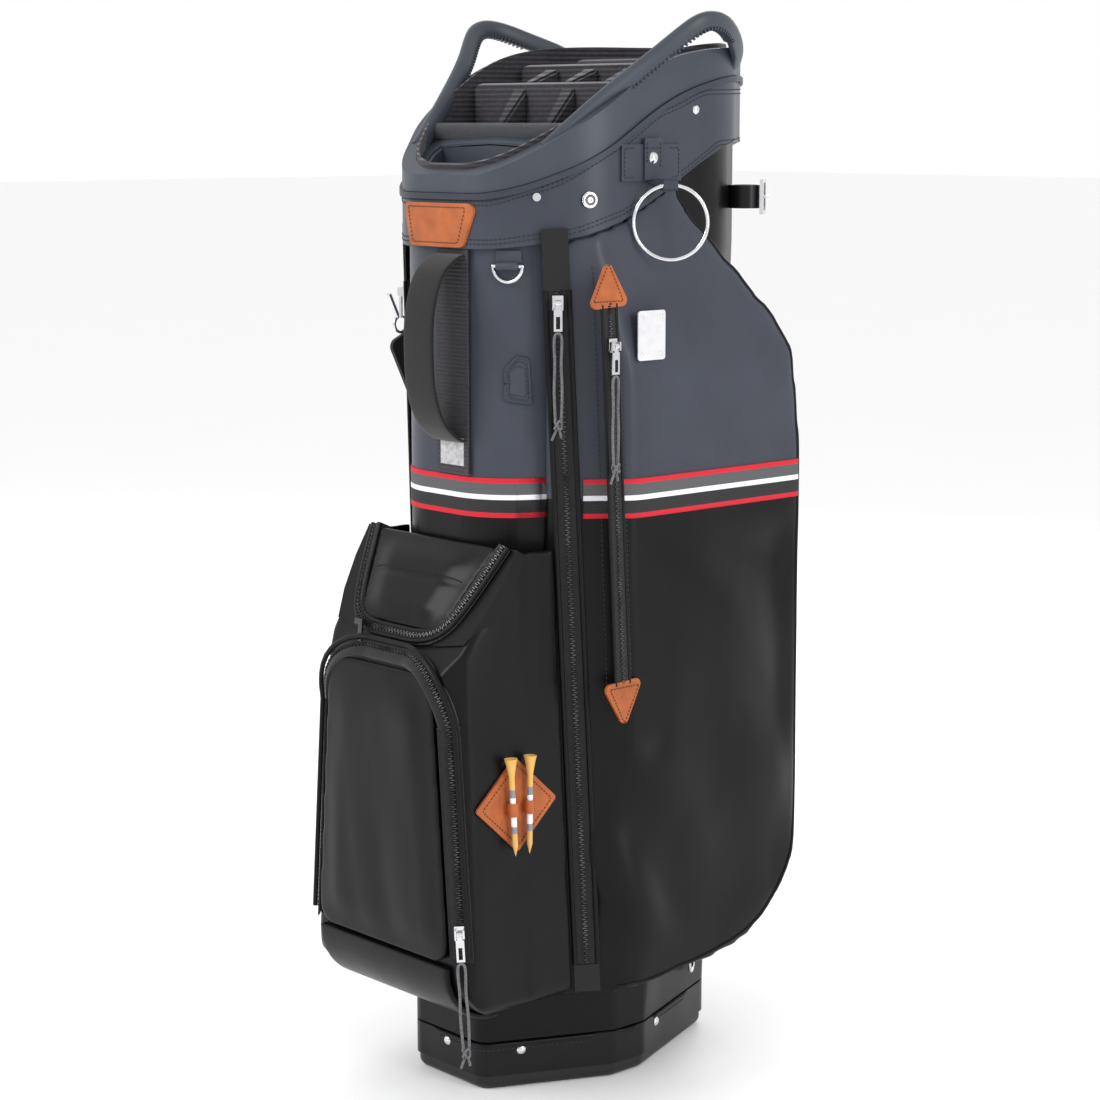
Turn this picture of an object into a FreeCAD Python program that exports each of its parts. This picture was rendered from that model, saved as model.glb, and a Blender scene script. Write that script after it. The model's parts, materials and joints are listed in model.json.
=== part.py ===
import FreeCAD, Part
import math
import os

import Sketcher

# A golf staff bag: a tall fabric tube on a moulded base, with a sloping collar, a moulded
# top with two carry handles, full-length club dividers, and pockets on three sides.
# Origin: the middle of the base on the floor.  +Z up, the front pocket faces -Y, +X right.

SIZES = {
    # base and tube
    "base_half_width": 97, "base_half_depth": 136, "base_nose": 46, "base_radius": 16,
    "foot_floor": 12, "foot_height": 42, "foot_wall": 4, "foot_edge_round": 7,
    "band_low": 13, "band_wall": 2, "tube_half_width": 108, "tube_half_depth": 148,
    "tube_shift": 12, "tube_nose": 54, "tube_radius": 78, "tube_wall": 2.4, "panel_split": 62,
    "clearance": 0.4, "stay_radius": 4,
    # levels of the sloping top
    "shoulder_front": 723, "shoulder_rear": 805, "collar_front": 768, "collar_rear": 860,
    "collar_thick": 6, "rim_front": 783, "rim_rear": 887, "rim_thick": 12, "liner_wall": 2.2,
    "piping_height": 5, "piping_stand": 2.4, "liner_rise": 4, "liner_depth": 60,
    # handles
    "handle_width": 17, "handle_thick": 9, "handle_peak": 909, "handle_flare": 143,
    # dividers
    "divider_wall": 3, "divider_pad": 12, "divider_pad_depth": 22, "well_length": 58,
    "well_half_width": 58, "well_wall": 3, "well_depth": 70,
    # side pockets
    "pocket_face": 135, "pocket_low": 108, "pocket_high_face": 640, "pocket_rear": 168,
    "pocket_sag": 55, "pocket_round": 112,
    "zip_tape": 20, "zip_thick": 2, "zip_low": 116, "zip_high": 690,
    "valuables_low": 362, "valuables_high": 680, "valuables_tape": 16,
    # front pocket
    "front_face": 208, "front_low": 88, "front_sill": 138, "front_high": 380,
    "front_half_low": 105, "front_half_high": 84, "front_wall": 4, "door_thick": 6,
    "door_radius": 44, "front_chamfer": 17, "front_back": 100, "front_back_half": 96,
    "lid_high": 482, "lid_low": 411, "lid_reach": 186, "lid_thick": 5, "lid_half_width": 78,
    "lid_front_half": 54,
    # bands, leather and hardware
    "stripe_low": 501, "stripe_high": 534, "stripe_thick": 1, "leather": 2.4,
    "ring_radius": 30.5, "ring_wire": 1.7, "ring_turn": 42, "dring_half": 13, "dring_wire": 1.6,
    "plate_width": 31, "plate_height": 41, "plate_thick": 1.2, "rivet_radius": 4.2,
    "tee_level": 268, "tee_depth": 144, "tee_length": 83, "tee_shaft": 2.4, "tee_head": 5.6, "cord_diameter": 2.4,
    "snap_radius": 6.5, "strap_width": 38, "strap_thick": 4,
}

doc = FreeCAD.newDocument("golf_bag")
sheet = doc.addObject("Spreadsheet::Sheet", "Sizes")
for row, (alias, value) in enumerate(SIZES.items(), start=1):
    sheet.set("A%d" % row, alias)
    sheet.set("B%d" % row, str(value))
    sheet.setAlias("B%d" % row, alias)
doc.recompute()

Vector = FreeCAD.Vector
UP = Vector(0, 0, 1)
FAR = 400.0
NODES = []


def size(alias):
    return float(getattr(sheet, alias))


def mix(low, high, share):
    return low + (high - low) * share


# ---- ways of making a piece ----

def piece(label, shape):
    """A sub-part whose shape is worked out from the sheet."""
    feature = doc.addObject("Part::Feature", label)
    feature.Shape = shape
    feature.Placement = shape.Placement
    NODES.append(feature)
    return feature


def node(obj, label):
    obj.Label = label
    NODES.append(obj)
    return obj


def origin_plane(body, role):
    return [item for item in body.Origin.OriginFeatures if item.Role == role][0]


def polygon_sketch(body, name, role, corners, offset="0"):
    """A closed outline whose corners are pairs of expressions, on one of the body's planes."""
    sketch = body.newObject("Sketcher::SketchObject", name)
    sketch.AttachmentSupport = [(origin_plane(body, role), "")]
    sketch.MapMode = "FlatFace"
    sketch.setExpression("AttachmentOffset.Base.z", offset)
    values = [(value_of(x), value_of(y)) for x, y in corners]
    count = len(values)
    for k in range(count):
        start, end = values[k], values[(k + 1) % count]
        sketch.addGeometry(Part.LineSegment(Vector(*start, 0), Vector(*end, 0)))
    for k in range(count):
        sketch.addConstraint(Sketcher.Constraint("Coincident", k, 2, (k + 1) % count, 1))
    for k in range(count):
        for axis, kind in enumerate(("DistanceX", "DistanceY")):
            rule = Sketcher.Constraint(kind, -1, 1, k, 1, values[k][axis])
            index = sketch.addConstraint(rule)
            sketch.setExpression("Constraints[%d]" % index, corners[k][axis])
    return sketch


def value_of(expression):
    """What an expression comes to, worked out in a spare cell of the sheet."""
    sheet.set("D1", "=" + expression.replace("Sizes.", ""))
    sheet.recompute()
    return float(sheet.get("D1"))


def plate(label, role, corners, offset, thickness):
    """A flat piece: an outline on a plane, padded by its thickness."""
    body = doc.addObject("PartDesign::Body", label)
    sketch = polygon_sketch(body, label + "_outline", role, corners, offset)
    pad = body.newObject("PartDesign::Pad", label + "_pad")
    pad.Profile = sketch
    pad.setExpression("Length", thickness)
    doc.recompute()
    return body


def upright_edges(solid, axis):
    """Names of the straight edges that run along one axis of a plate."""
    names = []
    for k, edge in enumerate(solid.Edges, start=1):
        if len(edge.Vertexes) == 2:
            along = edge.Vertexes[1].Point - edge.Vertexes[0].Point
            if abs(abs(along.normalize().dot(axis)) - 1) < 1e-6:
                names.append("Edge%d" % k)
    return names


def round_edges(body, axis, radius):
    plain = body.Tip
    fillet = body.newObject("PartDesign::Fillet", body.Name + "_corners")
    fillet.Base = (plain, upright_edges(plain.Shape, axis))
    fillet.setExpression("Radius", radius)
    doc.recompute()
    body.Tip = fillet
    return fillet


def corner_wire(points, radii):
    """A closed wire of straight runs and corner arcs."""
    edges = []
    arcs = []
    count = len(points)
    for k in range(count):
        before, here, after = points[k - 1], points[k], points[(k + 1) % count]
        back = (before - here).normalize()
        ahead = (after - here).normalize()
        half = (math.pi - back.getAngle(ahead)) / 2
        reach = radii[k] * math.tan(half)
        middle = (back + ahead).normalize()
        centre = here + middle * (radii[k] / math.cos(half))
        arcs.append((here + back * reach, centre - middle * radii[k], here + ahead * reach))
    for k in range(count):
        start, through, end = arcs[k]
        edges.append(Part.Arc(start, through, end).toShape())
        edges.append(Part.LineSegment(end, arcs[(k + 1) % count][0]).toShape())
    return Part.Wire(edges)


def prism(wire, direction):
    return Part.Face(wire).extrude(direction)


def box_between(low, high):
    corner = Vector(*low)
    span = Vector(*high) - corner
    return Part.makeBox(span.x, span.y, span.z, corner)


def rod(start, end, radius):
    along = end - start
    return Part.makeCylinder(radius, along.Length, start, along)


def mirrored(shape):
    return shape.mirror(Vector(0, 0, 0), Vector(1, 0, 0))


# ---- the shape of the tube and of the sloping top ----

def base_corners(offset):
    """The eight corners of the base outline: narrow at the nose, widest near the middle."""
    wide, deep, nose = size("base_half_width"), size("base_half_depth"), size("base_nose")
    right = [(nose, -deep), (wide, -0.2 * deep), (wide, 0.06 * deep), (nose, deep)]
    return grown(right, offset)


def tube_corners(offset):
    """The eight corners of the tube outline, a rounder and slightly larger octagon."""
    wide, deep, nose = size("tube_half_width"), size("tube_half_depth"), size("tube_nose")
    shift = size("tube_shift")
    right = [(nose, shift - deep), (wide, shift - 0.5 * deep), (wide, shift + 0.5 * deep), (nose, shift + deep)]
    return grown(right, offset)


def grown(right, offset):
    """Both halves of an octagon, with each side moved out by the offset."""
    points = [Vector(x, y, 0) for x, y in right]
    points += [Vector(-p.x, p.y, 0) for p in reversed(points)]
    moved = []
    count = len(points)
    for k in range(count):
        back = (points[k] - points[k - 1]).normalize()
        ahead = (points[(k + 1) % count] - points[k]).normalize()
        out_back = Vector(back.y, -back.x, 0)
        out_ahead = Vector(ahead.y, -ahead.x, 0)
        middle = (out_back + out_ahead).normalize()
        moved.append(points[k] + middle * (offset / middle.dot(out_back)))
    return moved


def section(corners, radius, level):
    points = [Vector(p.x, p.y, level) for p in corners]
    return corner_wire(points, [radius] * len(points))


def tube_below(offset):
    """The tube up to its shoulder: it grows from the base outline."""
    low = section(base_corners(offset), size("base_radius") + offset, size("foot_height") + 2)
    high = section(tube_corners(offset), size("tube_radius") + offset, size("shoulder_front"))
    return Part.makeLoft([low, high], True, True)


def tube_solid(offset):
    """The whole tube, closed, with its straight upper end."""
    high = section(tube_corners(offset), size("tube_radius") + offset, size("shoulder_front"))
    top = section(tube_corners(offset), size("tube_radius") + offset, size("rim_rear") + 60)
    return tube_below(offset).fuse(Part.makeLoft([high, top], True, True))


def depth_at(share):
    """A place along the tube's depth: 0 at its front, 1 at its back."""
    return size("tube_shift") + size("tube_half_depth") * (2 * share - 1)


SLOPES = {
    "shoulder": [(0, 0), (0.16, 0.09), (0.33, 0.27), (0.52, 0.6), (0.72, 0.97), (1, 1)],
    "collar": [(0, 0), (0.11, 0.12), (0.33, 0.49), (0.5, 0.8), (0.66, 0.98), (1, 1)],
    "rim": [(0, 0), (0.19, 0.356), (0.33, 0.62), (0.46, 0.84), (0.66, 0.985), (1, 1)],
}


def slope_level(name, share, lift=0.0):
    pairs = SLOPES[name]
    for (low, low_rise), (high, high_rise) in zip(pairs, pairs[1:]):
        if share <= high:
            part = (share - low) / (high - low)
            return mix(size(name + "_front"), size(name + "_rear"), mix(low_rise, high_rise, part)) + lift
    return size(name + "_rear") + lift


def below_slope(name, lift):
    """Everything under one of the sloping lines, as a wide prism."""
    pairs = SLOPES[name]
    points = [Vector(-FAR, depth_at(share), slope_level(name, share, lift)) for share, _ in pairs]
    first = Vector(-FAR, -FAR, points[0].z)
    last = Vector(-FAR, FAR, points[-1].z)
    curve = Part.BSplineCurve()
    curve.interpolate(points)
    edges = [
        Part.LineSegment(first, points[0]).toShape(),
        curve.toShape(),
        Part.LineSegment(points[-1], last).toShape(),
        Part.LineSegment(last, Vector(-FAR, FAR, -10)).toShape(),
        Part.LineSegment(Vector(-FAR, FAR, -10), Vector(-FAR, -FAR, -10)).toShape(),
        Part.LineSegment(Vector(-FAR, -FAR, -10), first).toShape(),
    ]
    return prism(Part.Wire(edges), Vector(2 * FAR, 0, 0))


def ring_between(outer, inner, low, high):
    """A ring of the tube's plan shape between two sloping levels."""
    wall = tube_ring(outer, inner)
    return wall.common(high).cut(low)


def tube_ring(outer, inner):
    """A straight-sided ring around the top, from one offset to another."""
    level = size("shoulder_front") - 60
    tall = Vector(0, 0, size("rim_rear") + 40 - level)
    rings = [section(tube_corners(k), size("tube_radius") + k, level) for k in (outer, inner)]
    return prism(rings[0], tall).cut(prism(rings[1], tall))


# ---- base ----

def make_base():
    foot_outer = section(base_corners(-size("band_wall")), size("base_radius"), 0)
    foot = prism(foot_outer, Vector(0, 0, size("foot_height")))
    low_edges = [edge for edge in foot.Edges if edge.BoundBox.ZMax < 0.01]
    foot = foot.makeFillet(size("foot_edge_round"), low_edges)
    hollow = section(base_corners(-size("band_wall") - size("foot_wall")), size("base_radius") - 4, size("foot_floor"))
    foot = foot.cut(prism(hollow, Vector(0, 0, size("foot_height"))))
    piece("base_foot", foot)

    outer = section(base_corners(0), size("base_radius"), size("band_low"))
    inner = section(base_corners(-size("band_wall")), size("base_radius"), size("band_low"))
    tall = Vector(0, 0, size("foot_height") - size("band_low"))
    piece("base_band", prism(outer, tall).cut(prism(inner, tall)))

    nose, deep, wide = size("base_nose"), size("base_half_depth"), size("base_half_width")
    level = mix(size("band_low"), size("foot_height"), 0.74)
    slant = Vector(0.8 * deep, -(wide - nose), 0).normalize()
    slant_spot = Vector(mix(nose, wide, 0.3), mix(-deep, -0.2 * deep, 0.3), level)
    rear_slant = Vector(0.94 * deep, wide - nose, 0).normalize()
    rear_spot = Vector(mix(wide, nose, 0.2), mix(0.06 * deep, deep, 0.2), level)
    spots = [
        (Vector(0, -deep, level), Vector(0, -1, 0)),
        (slant_spot, slant),
        (rear_spot, rear_slant),
    ]
    spots += [(Vector(-p.x, p.y, p.z), Vector(-d.x, d.y, d.z)) for p, d in spots[1:]]
    piece("base_rivets", Part.Compound([rivet(p, d, size("rivet_radius")) for p, d in spots]))


def rivet(spot, facing, radius):
    """A domed rivet head standing on a face."""
    dome = Part.makeSphere(radius * 1.25, spot - facing * radius * 0.75)
    keep = Part.makeCylinder(radius, radius, spot, facing)
    return dome.common(keep)


# ---- tube panels, stays and dividers ----

def make_tube():
    wall = tube_solid(0).cut(tube_solid(-size("tube_wall")))
    wall = wall.common(below_slope("collar", -size("clearance")))
    split = size("panel_split")
    tall = size("rim_rear") + 80
    middle = size("tube_shift")
    boxes = {
        "body_front_panel": box_between((-split, -FAR, 0), (split, middle, tall)),
        "body_rear_panel": box_between((-split, middle, 0), (split, FAR, tall)),
        "body_right_panel": box_between((split, -FAR, 0), (FAR, FAR, tall)),
        "body_left_panel": box_between((-FAR, -FAR, 0), (-split, FAR, tall)),
    }
    for label, part in boxes.items():
        piece(label, wall.common(part))

    inset = size("tube_wall") + size("stay_radius") + 1.5
    low = base_corners(-inset)
    high = tube_corners(-inset - 4)
    stays = []
    for k in (1, 2, 5, 6):
        foot = Vector(low[k].x, low[k].y, size("foot_height") + 6)
        top = Vector(high[k].x, high[k].y, size("shoulder_front") - 4)
        stays.append(rod(foot, top, size("stay_radius")))
    piece("frame_stays", Part.Compound(stays))


CROSS_WALLS = [0.25, 0.41, 0.595, 0.78]
PARTITIONS = [(-0.31, 0.31), (-0.46, 0, 0.46), (-0.46, 0, 0.46), (-0.31, 0.31)]


def wall_top(share):
    return slope_level("rim", share) - 4


def make_dividers():
    thick, pad = size("divider_wall"), size("divider_pad")
    inset = size("tube_wall") + 2 * size("stay_radius") + 4
    room = tube_solid(-inset)
    low = size("foot_height") + 8
    walls, pads, partitions, partition_pads = [], [], [], []
    levels = [depth_at(share) for share in CROSS_WALLS]
    for share, y in zip(CROSS_WALLS, levels):
        top = wall_top(share)
        pad_low = top - size("divider_pad_depth")
        wall = box_between((-FAR, y - thick / 2, low), (FAR, y + thick / 2, pad_low - 0.5))
        roll = box_between((-FAR, y - pad / 2, pad_low), (FAR, y + pad / 2, top))
        walls.append(wall.common(room))
        pads.append(roll.common(room))
    ends = levels + [depth_at(1)]
    for k, places in enumerate(PARTITIONS):
        front = ends[k] + pad / 2 + 0.5
        back = ends[k + 1] - pad / 2 - 0.5
        top = wall_top(CROSS_WALLS[k]) - 2
        pad_low = top - size("divider_pad_depth")
        for place in places:
            x = place * size("tube_half_width")
            fin = box_between((x - thick / 2, front, low), (x + thick / 2, back, pad_low - 0.5))
            roll = box_between((x - pad / 3, front, pad_low), (x + pad / 3, back, top))
            partitions.append(fin.common(room))
            partition_pads.append(roll.common(room))
    piece("divider_walls", Part.Compound(walls))
    piece("divider_partitions", Part.Compound(partitions))
    piece("divider_pads", Part.Compound(pads + partition_pads))


# ---- collar, rim, liner, handles, putter well ----

def make_top():
    gap = size("clearance")
    thick = size("collar_thick")
    collar = ring_between(thick, gap, below_slope("shoulder", 0), below_slope("collar", 0))
    piece("collar_band", collar)
    stand = thick + size("piping_stand")
    low = below_slope("collar", -size("piping_height"))
    piping = ring_between(stand, thick + 0.05, low, below_slope("collar", 0))
    piece("collar_piping", piping)
    rim_inner = size("collar_thick") - size("rim_thick")
    rim = ring_between(thick, rim_inner, below_slope("collar", gap), below_slope("rim", 0))
    piece("top_rim", rim)
    liner_out = rim_inner - gap
    liner = ring_between(liner_out, liner_out - size("liner_wall"),
                         below_slope("rim", -size("liner_depth")), below_slope("rim", size("liner_rise")))
    piece("throat_liner", liner)


def handle_route():
    """One handle, from the front of the rim up and out to its peak and back to the rim."""
    flare, peak = size("handle_flare"), size("handle_peak")
    wide = size("tube_half_width")
    front_y, rear_y = depth_at(0.145), depth_at(0.82)
    front = Vector(0.76 * wide, front_y, slope_level("rim", 0.145) - 6)
    rear = Vector(0.9 * wide, rear_y, slope_level("rim", 0.82) - 5)
    share = [
        (0.30, 0.33, 0.37), (0.62, 0.60, 0.68), (0.86, 0.74, 0.87), (0.97, 0.82, 0.96),
        (1.0, 0.90, 1.0),
    ]
    crest_y = depth_at(0.615)
    route = [front]
    for out, along, rise in share:
        route.append(Vector(mix(front.x, flare, out), mix(front_y, crest_y, along), mix(front.z, peak, rise)))
    route.append(Vector(0.985 * flare, crest_y + 6, peak - 3))
    route.append(Vector(0.90 * flare, mix(crest_y, rear_y, 0.5), peak - 12))
    route.append(Vector(0.76 * flare, mix(crest_y, rear_y, 0.9), peak - 24))
    route.append(rear + Vector(0, 2, -8))
    return route


def smooth_route(route, count):
    """Evenly spaced points on the smooth curve through a route."""
    curve = Part.BSplineCurve()
    curve.interpolate(route)
    return curve.toShape().discretize(count)


def band_along(route, wide, thick):
    """A bevelled flat band lofted through the route, its flat sides facing across the bag."""
    wires = []
    route = smooth_route(route, 26)
    count = len(route)
    for k in range(count):
        ahead = route[min(k + 1, count - 1)] - route[max(k - 1, 0)]
        ahead = ahead.normalize()
        side = (Vector(1, 0, 0) - ahead * ahead.x).normalize()
        rise = ahead.cross(side)
        bevel = 1 - 0.5 * thick / wide
        corners = [(-0.5, -1), (0.5, -1), (1, -bevel), (1, bevel), (0.5, 1), (-0.5, 1), (-1, bevel), (-1, -bevel)]
        points = [route[k] + side * (a * thick / 2) + rise * (b * wide / 2) for a, b in corners]
        wires.append(Part.makePolygon(points + points[:1]))
    return Part.makeLoft(wires, True, True)


def make_handles():
    band = band_along(handle_route(), size("handle_width"), size("handle_thick"))
    piece("top_handle_right", band)
    piece("top_handle_left", mirrored(band))


def nose_room(offset, low, high):
    """The room inside the nose of the top, between two levels."""
    wire = section(tube_corners(offset), size("tube_radius") + offset, low)
    return prism(wire, Vector(0, 0, high - low))


def make_putter_well():
    """The moulded well at the nose of the top: a short open tube that follows the nose."""
    half, wall = size("well_half_width"), size("well_wall")
    outside = size("collar_thick") - size("rim_thick") - size("liner_wall") - 2 * size("clearance")
    back = depth_at(0) - outside + size("well_length")
    top = size("rim_front") - 2
    low = top - size("well_depth")
    outer = nose_room(outside, low, top).common(box_between((-half, -FAR, 0), (half, back, FAR * 3)))
    inner = nose_room(outside - wall, low - 1, top + 1)
    inner = inner.common(box_between((wall - half, -FAR, 0), (half - wall, back - wall, FAR * 3)))
    piece("putter_well", outer.cut(inner))


# ---- side pockets ----

def side_view(points, radii, low_x, high_x):
    wire = corner_wire([Vector(low_x, y, z) for y, z in points], radii)
    return prism(wire, Vector(high_x - low_x, 0, 0))


def front_view(points, radii, low_y, high_y):
    wire = corner_wire([Vector(x, low_y, z) for x, z in points], radii)
    return prism(wire, Vector(0, high_y - low_y, 0))


def frame_on(spot, along, facing):
    """A place whose X runs along a strip and whose Z faces out of the surface."""
    along = Vector(along).normalize()
    side = Vector(facing).cross(along).normalize()
    out = along.cross(side)
    return FreeCAD.Placement(spot, FreeCAD.Rotation(along, side, out, "ZXY"))


def zip_line():
    """The main zip of a side pocket: its upper and lower ends, on the pocket's front corner."""
    wide = size("tube_half_width")
    out = 3.0
    high = Vector(wide - 15 + out, depth_at(0.155) - out, size("zip_high"))
    low = Vector(wide - 4 + out, depth_at(0.235) - out, size("zip_low"))
    return high, low


ZIP_FACING = Vector(0.78, -0.62, 0)


def zip_frame():
    high, low = zip_line()
    return frame_on(high, low - high, ZIP_FACING)


def pocket_solid():
    face, low = size("pocket_face"), size("pocket_low")
    rear, top = size("pocket_rear"), size("shoulder_front")
    inside = size("base_half_width") * 0.4
    shoulder_y = depth_at(0.565)
    outline = [
        (-FAR, low - size("pocket_sag")), (rear + 3, low + 2), (rear - 6, size("stripe_high") + 10),
        (rear - 20, size("pocket_high_face") + 4), (shoulder_y, top + 40),
        (shoulder_y - 12, top + 90), (-FAR, top + 90),
    ]
    side = side_view(outline, [10, size("pocket_round"), 60, 60, 20, 5, 10], inside, face + 1)
    profile = [
        (inside, low - 70), (face - 4, low - 70), (face, mix(low, size("pocket_high_face"), 0.3)),
        (face, size("pocket_high_face") - 20), (size("tube_half_width") + 5, top + 30),
        (size("tube_half_width") + 4, top + 90), (inside, top + 90),
    ]
    front = front_view(profile, [5, 30, 100, 100, 30, 2, 2], -FAR, FAR)
    solid = side.common(front).common(below_slope("shoulder", -size("clearance")))
    wedge = Part.makeBox(3 * FAR, 3 * FAR, FAR, Vector(-FAR, -1.5 * FAR, 0))
    wedge.Placement = zip_frame()
    solid = solid.cut(wedge)
    back = frame_on(Vector(face, rear - 9, 0), UP, Vector(0.5, 0.87, 0))
    slice_off = Part.makeBox(4 * FAR, 4 * FAR, FAR, Vector(-FAR, -2 * FAR, 0))
    slice_off.Placement = back
    solid = solid.cut(slice_off)
    front_edge = zip_line()[0].y - 2
    solid = solid.cut(box_between((0, -FAR, -1), (FAR, front_edge, FAR * 3)))
    return solid.cut(tube_solid(size("clearance"))).cut(base_keepout())


def base_keepout():
    outer = section(base_corners(size("clearance")), size("base_radius"), -1)
    return prism(outer, Vector(0, 0, size("foot_height") + 4))


def make_side_pockets():
    solid = max(pocket_solid().Solids, key=lambda part: part.Volume)
    piece("right_pocket", solid)
    piece("left_pocket", mirrored(solid))


def hanging_frame(place, start):
    """The frame of a slider at a distance along a zip: X straight down, Z out of the surface."""
    spot = place.multVec(Vector(start, 0, 0))
    out = place.Rotation.multVec(Vector(0, 0, 1))
    return frame_on(spot, Vector(0, 0, -1), Vector(out.x, out.y, 0))


def strip_on(place, start, end, wide, low, high):
    """A straight strip in a zip's own frame: along X, centred on Y, between two heights."""
    strip = Part.makeBox(end - start, wide, high - low, Vector(start, -wide / 2, low))
    strip.Placement = place
    return strip


def valuables_frame():
    high = Vector(size("pocket_face"), depth_at(0.213), size("valuables_high"))
    low = Vector(size("pocket_face"), depth_at(0.27), size("valuables_low"))
    return frame_on(high, low - high, Vector(1, 0, 0)), (low - high).Length


def make_zips():
    high, low = zip_line()
    length = (low - high).Length
    frame = zip_frame()
    right = strip_on(frame, 0, length, size("zip_tape"), 0.05, size("zip_thick"))
    place, reach = valuables_frame()
    valuables = strip_on(place, 0, reach, size("valuables_tape"), 0.05, size("zip_thick"))
    front_place, front_reach = front_zip_frame()
    front = strip_on(front_place, -26, front_reach, 19, 0.3, size("zip_thick") - 0.4)
    piece("zip_tapes", Part.Compound([right, mirrored(right), valuables, front, mirrored(front)]))
    slider_and_pull("right_zip", hanging_frame(frame, 10), 0)
    slider_and_pull("valuables_zip", hanging_frame(place, 34), 0)
    left = slider_shapes(hanging_frame(frame, 10), 0)
    piece("left_zip_slider", mirrored(left[0]))
    piece("left_zip_pull", mirrored(left[1]))


def slider_shapes(frame, start):
    """A zip slider with its bridge, and the pull that hangs from the bridge on its pin."""
    low = size("zip_thick") + size("clearance")
    wire = 1.0
    body = Part.makeBox(12, 9, 2.6, Vector(start - 6, -4.5, low))
    ears = [Part.makeBox(7, 1.6, 5.2, Vector(start - 3.5, side, low + 2.6)) for side in (-4.2, 2.6)]
    pin_spot = Vector(start, 0, low + 5.6)
    pin = Part.makeCylinder(wire, 6.8, Vector(start, -3.4, low + 5.6), Vector(0, 1, 0))
    slider = body.fuse(ears + [pin])
    eye = Part.makeCylinder(2.4, 4.4, pin_spot - Vector(0, 2.2, 0), Vector(0, 1, 0))
    bar = Part.makeBox(22, 7, 1.8, Vector(start + 1, -3.5, low + 4.9))
    near = Part.makeBox(7, 12, 8, Vector(start - 2, -6, low + 1.2))
    bar = bar.cut(near).fuse(Part.makeBox(7, 4.4, 1.8, Vector(start, -2.2, low + 4.9)))
    window = Part.makeBox(10, 3.4, 4, Vector(start + 11, -1.7, low + 4))
    pull = eye.fuse(bar).cut(window)
    hole = Part.makeCylinder(wire + 0.08, 6, pin_spot - Vector(0, 3, 0), Vector(0, 1, 0))
    pull = pull.cut(hole)
    for shape in (slider, pull):
        shape.Placement = frame
    return slider.removeSplitter(), pull.removeSplitter()


# A pull cord in its pull's own frame: X down from the pin, Y across.  It is a loop: up one
# strand, round the end of the pull's window, and down the other strand to the knot.
CORD_ROUTE = [
    (96, -2.2), (74, -3.6), (50, -2.4), (35, -3.4), (24.6, -2.9), (24.6, 2.9), (35, 3.2),
    (50, 2.2), (74, 3.8), (96, 2.4),
]
KNOT_LENGTH = 9


def cord_tube(frame, start):
    """Straight runs joined by tangent arcs, swept by the cord's round section."""
    height = size("zip_thick") + size("clearance") + 5.8
    points = [frame.multVec(Vector(start + x, y, height)) for x, y in CORD_ROUTE]
    edges = []
    length = 0.0
    last = points[0]
    for before, here, after in zip(points, points[1:], points[2:]):
        back, ahead = before - here, after - here
        half = (math.pi - back.getAngle(ahead)) / 2
        reach = 0.45 * min(back.Length, ahead.Length)
        radius = reach / math.tan(half)
        back, ahead = Vector(back).normalize(), Vector(ahead).normalize()
        middle = (back + ahead).normalize()
        through = here + middle * (radius / math.cos(half) - radius)
        first, second = here + back * reach, here + ahead * reach
        edges.append(Part.LineSegment(last, first).toShape())
        edges.append(Part.Arc(first, through, second).toShape())
        print("cord arc radius %.1f" % radius)
        length += (first - last).Length + 2 * half * radius
        last = second
    edges.append(Part.LineSegment(last, points[-1]).toShape())
    length += (points[-1] - last).Length
    path = Part.Wire(edges)
    ahead = points[1] - points[0]
    profile = Part.Wire(Part.makeCircle(size("cord_diameter") / 2, points[0], ahead))
    tube = path.makePipeShell([profile], True, False)
    expected = math.pi * (size("cord_diameter") / 2) ** 2 * length
    print("cord length %.1f volume ratio %.4f" % (length, tube.Volume / expected))
    return tube


def slider_and_pull(name, frame, start):
    slider, pull = slider_shapes(frame, start)
    piece(name + "_slider", slider)
    knot_low = CORD_ROUTE[0][0] + start
    height = size("zip_thick") + size("clearance") + 5.8
    knot = Part.makeCylinder(4.2, KNOT_LENGTH, Vector(knot_low, 0, height), Vector(1, 0, 0))
    knot.Placement = frame
    piece(name + "_pull", pull)
    piece(name + "_cord", Part.Compound([cord_tube(frame, start), knot]))


# ---- front pocket, door and lid ----

def front_half(level):
    """Half of the front pocket's width at a height: it narrows towards the top."""
    share = (level - size("front_sill")) / (shelf_level() - size("front_sill"))
    return mix(size("front_half_low"), size("front_half_high"), share)


def side_spot(level, depth):
    """Where the front pocket's side wall stands at a height and a depth."""
    ray = Part.LineSegment(Vector(0, depth, level), Vector(FAR, depth, level)).toShape()
    inside = ray.common(front_body(shell_face(), 0))
    return max((v.Point for v in inside.Vertexes), key=lambda p: p.x)


def shell_face():
    return size("front_face") - size("door_thick") - size("clearance")


def front_back_top():
    """Where the slope of the lid reaches the back of the pocket."""
    rise = (size("lid_high") - shelf_level()) / (shell_face() - depth_limit())
    return shelf_level() + rise * (shell_face() - size("front_back"))


def front_section(depth, top, half, corner, inset):
    """The front pocket cut across at one depth, with rounded upper corners."""
    low, sill = size("front_low") + inset, size("front_sill")
    wide, high = size("front_half_low") - inset, top - inset
    points = [(-wide, low), (wide, low), (wide, sill), (half - inset, high), (inset - half, high), (-wide, sill)]
    radii = [18, 18, 18, corner, corner, 18]
    return corner_wire([Vector(x, depth, z) for x, z in points], radii)


def front_body(face, inset):
    """The front pocket's outer form: low and rounded in front, high and wide behind."""
    far = front_section(-size("front_back"), front_back_top(), size("front_back_half"), 12, inset)
    near = front_section(-face, shelf_level(), size("front_half_high"), size("door_radius"), inset)
    body = Part.makeLoft([far, near], True, True)
    back = depth_at(0.3)
    behind = prism(far, Vector(0, back + size("front_back"), 0))
    return body.fuse(behind)


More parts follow.
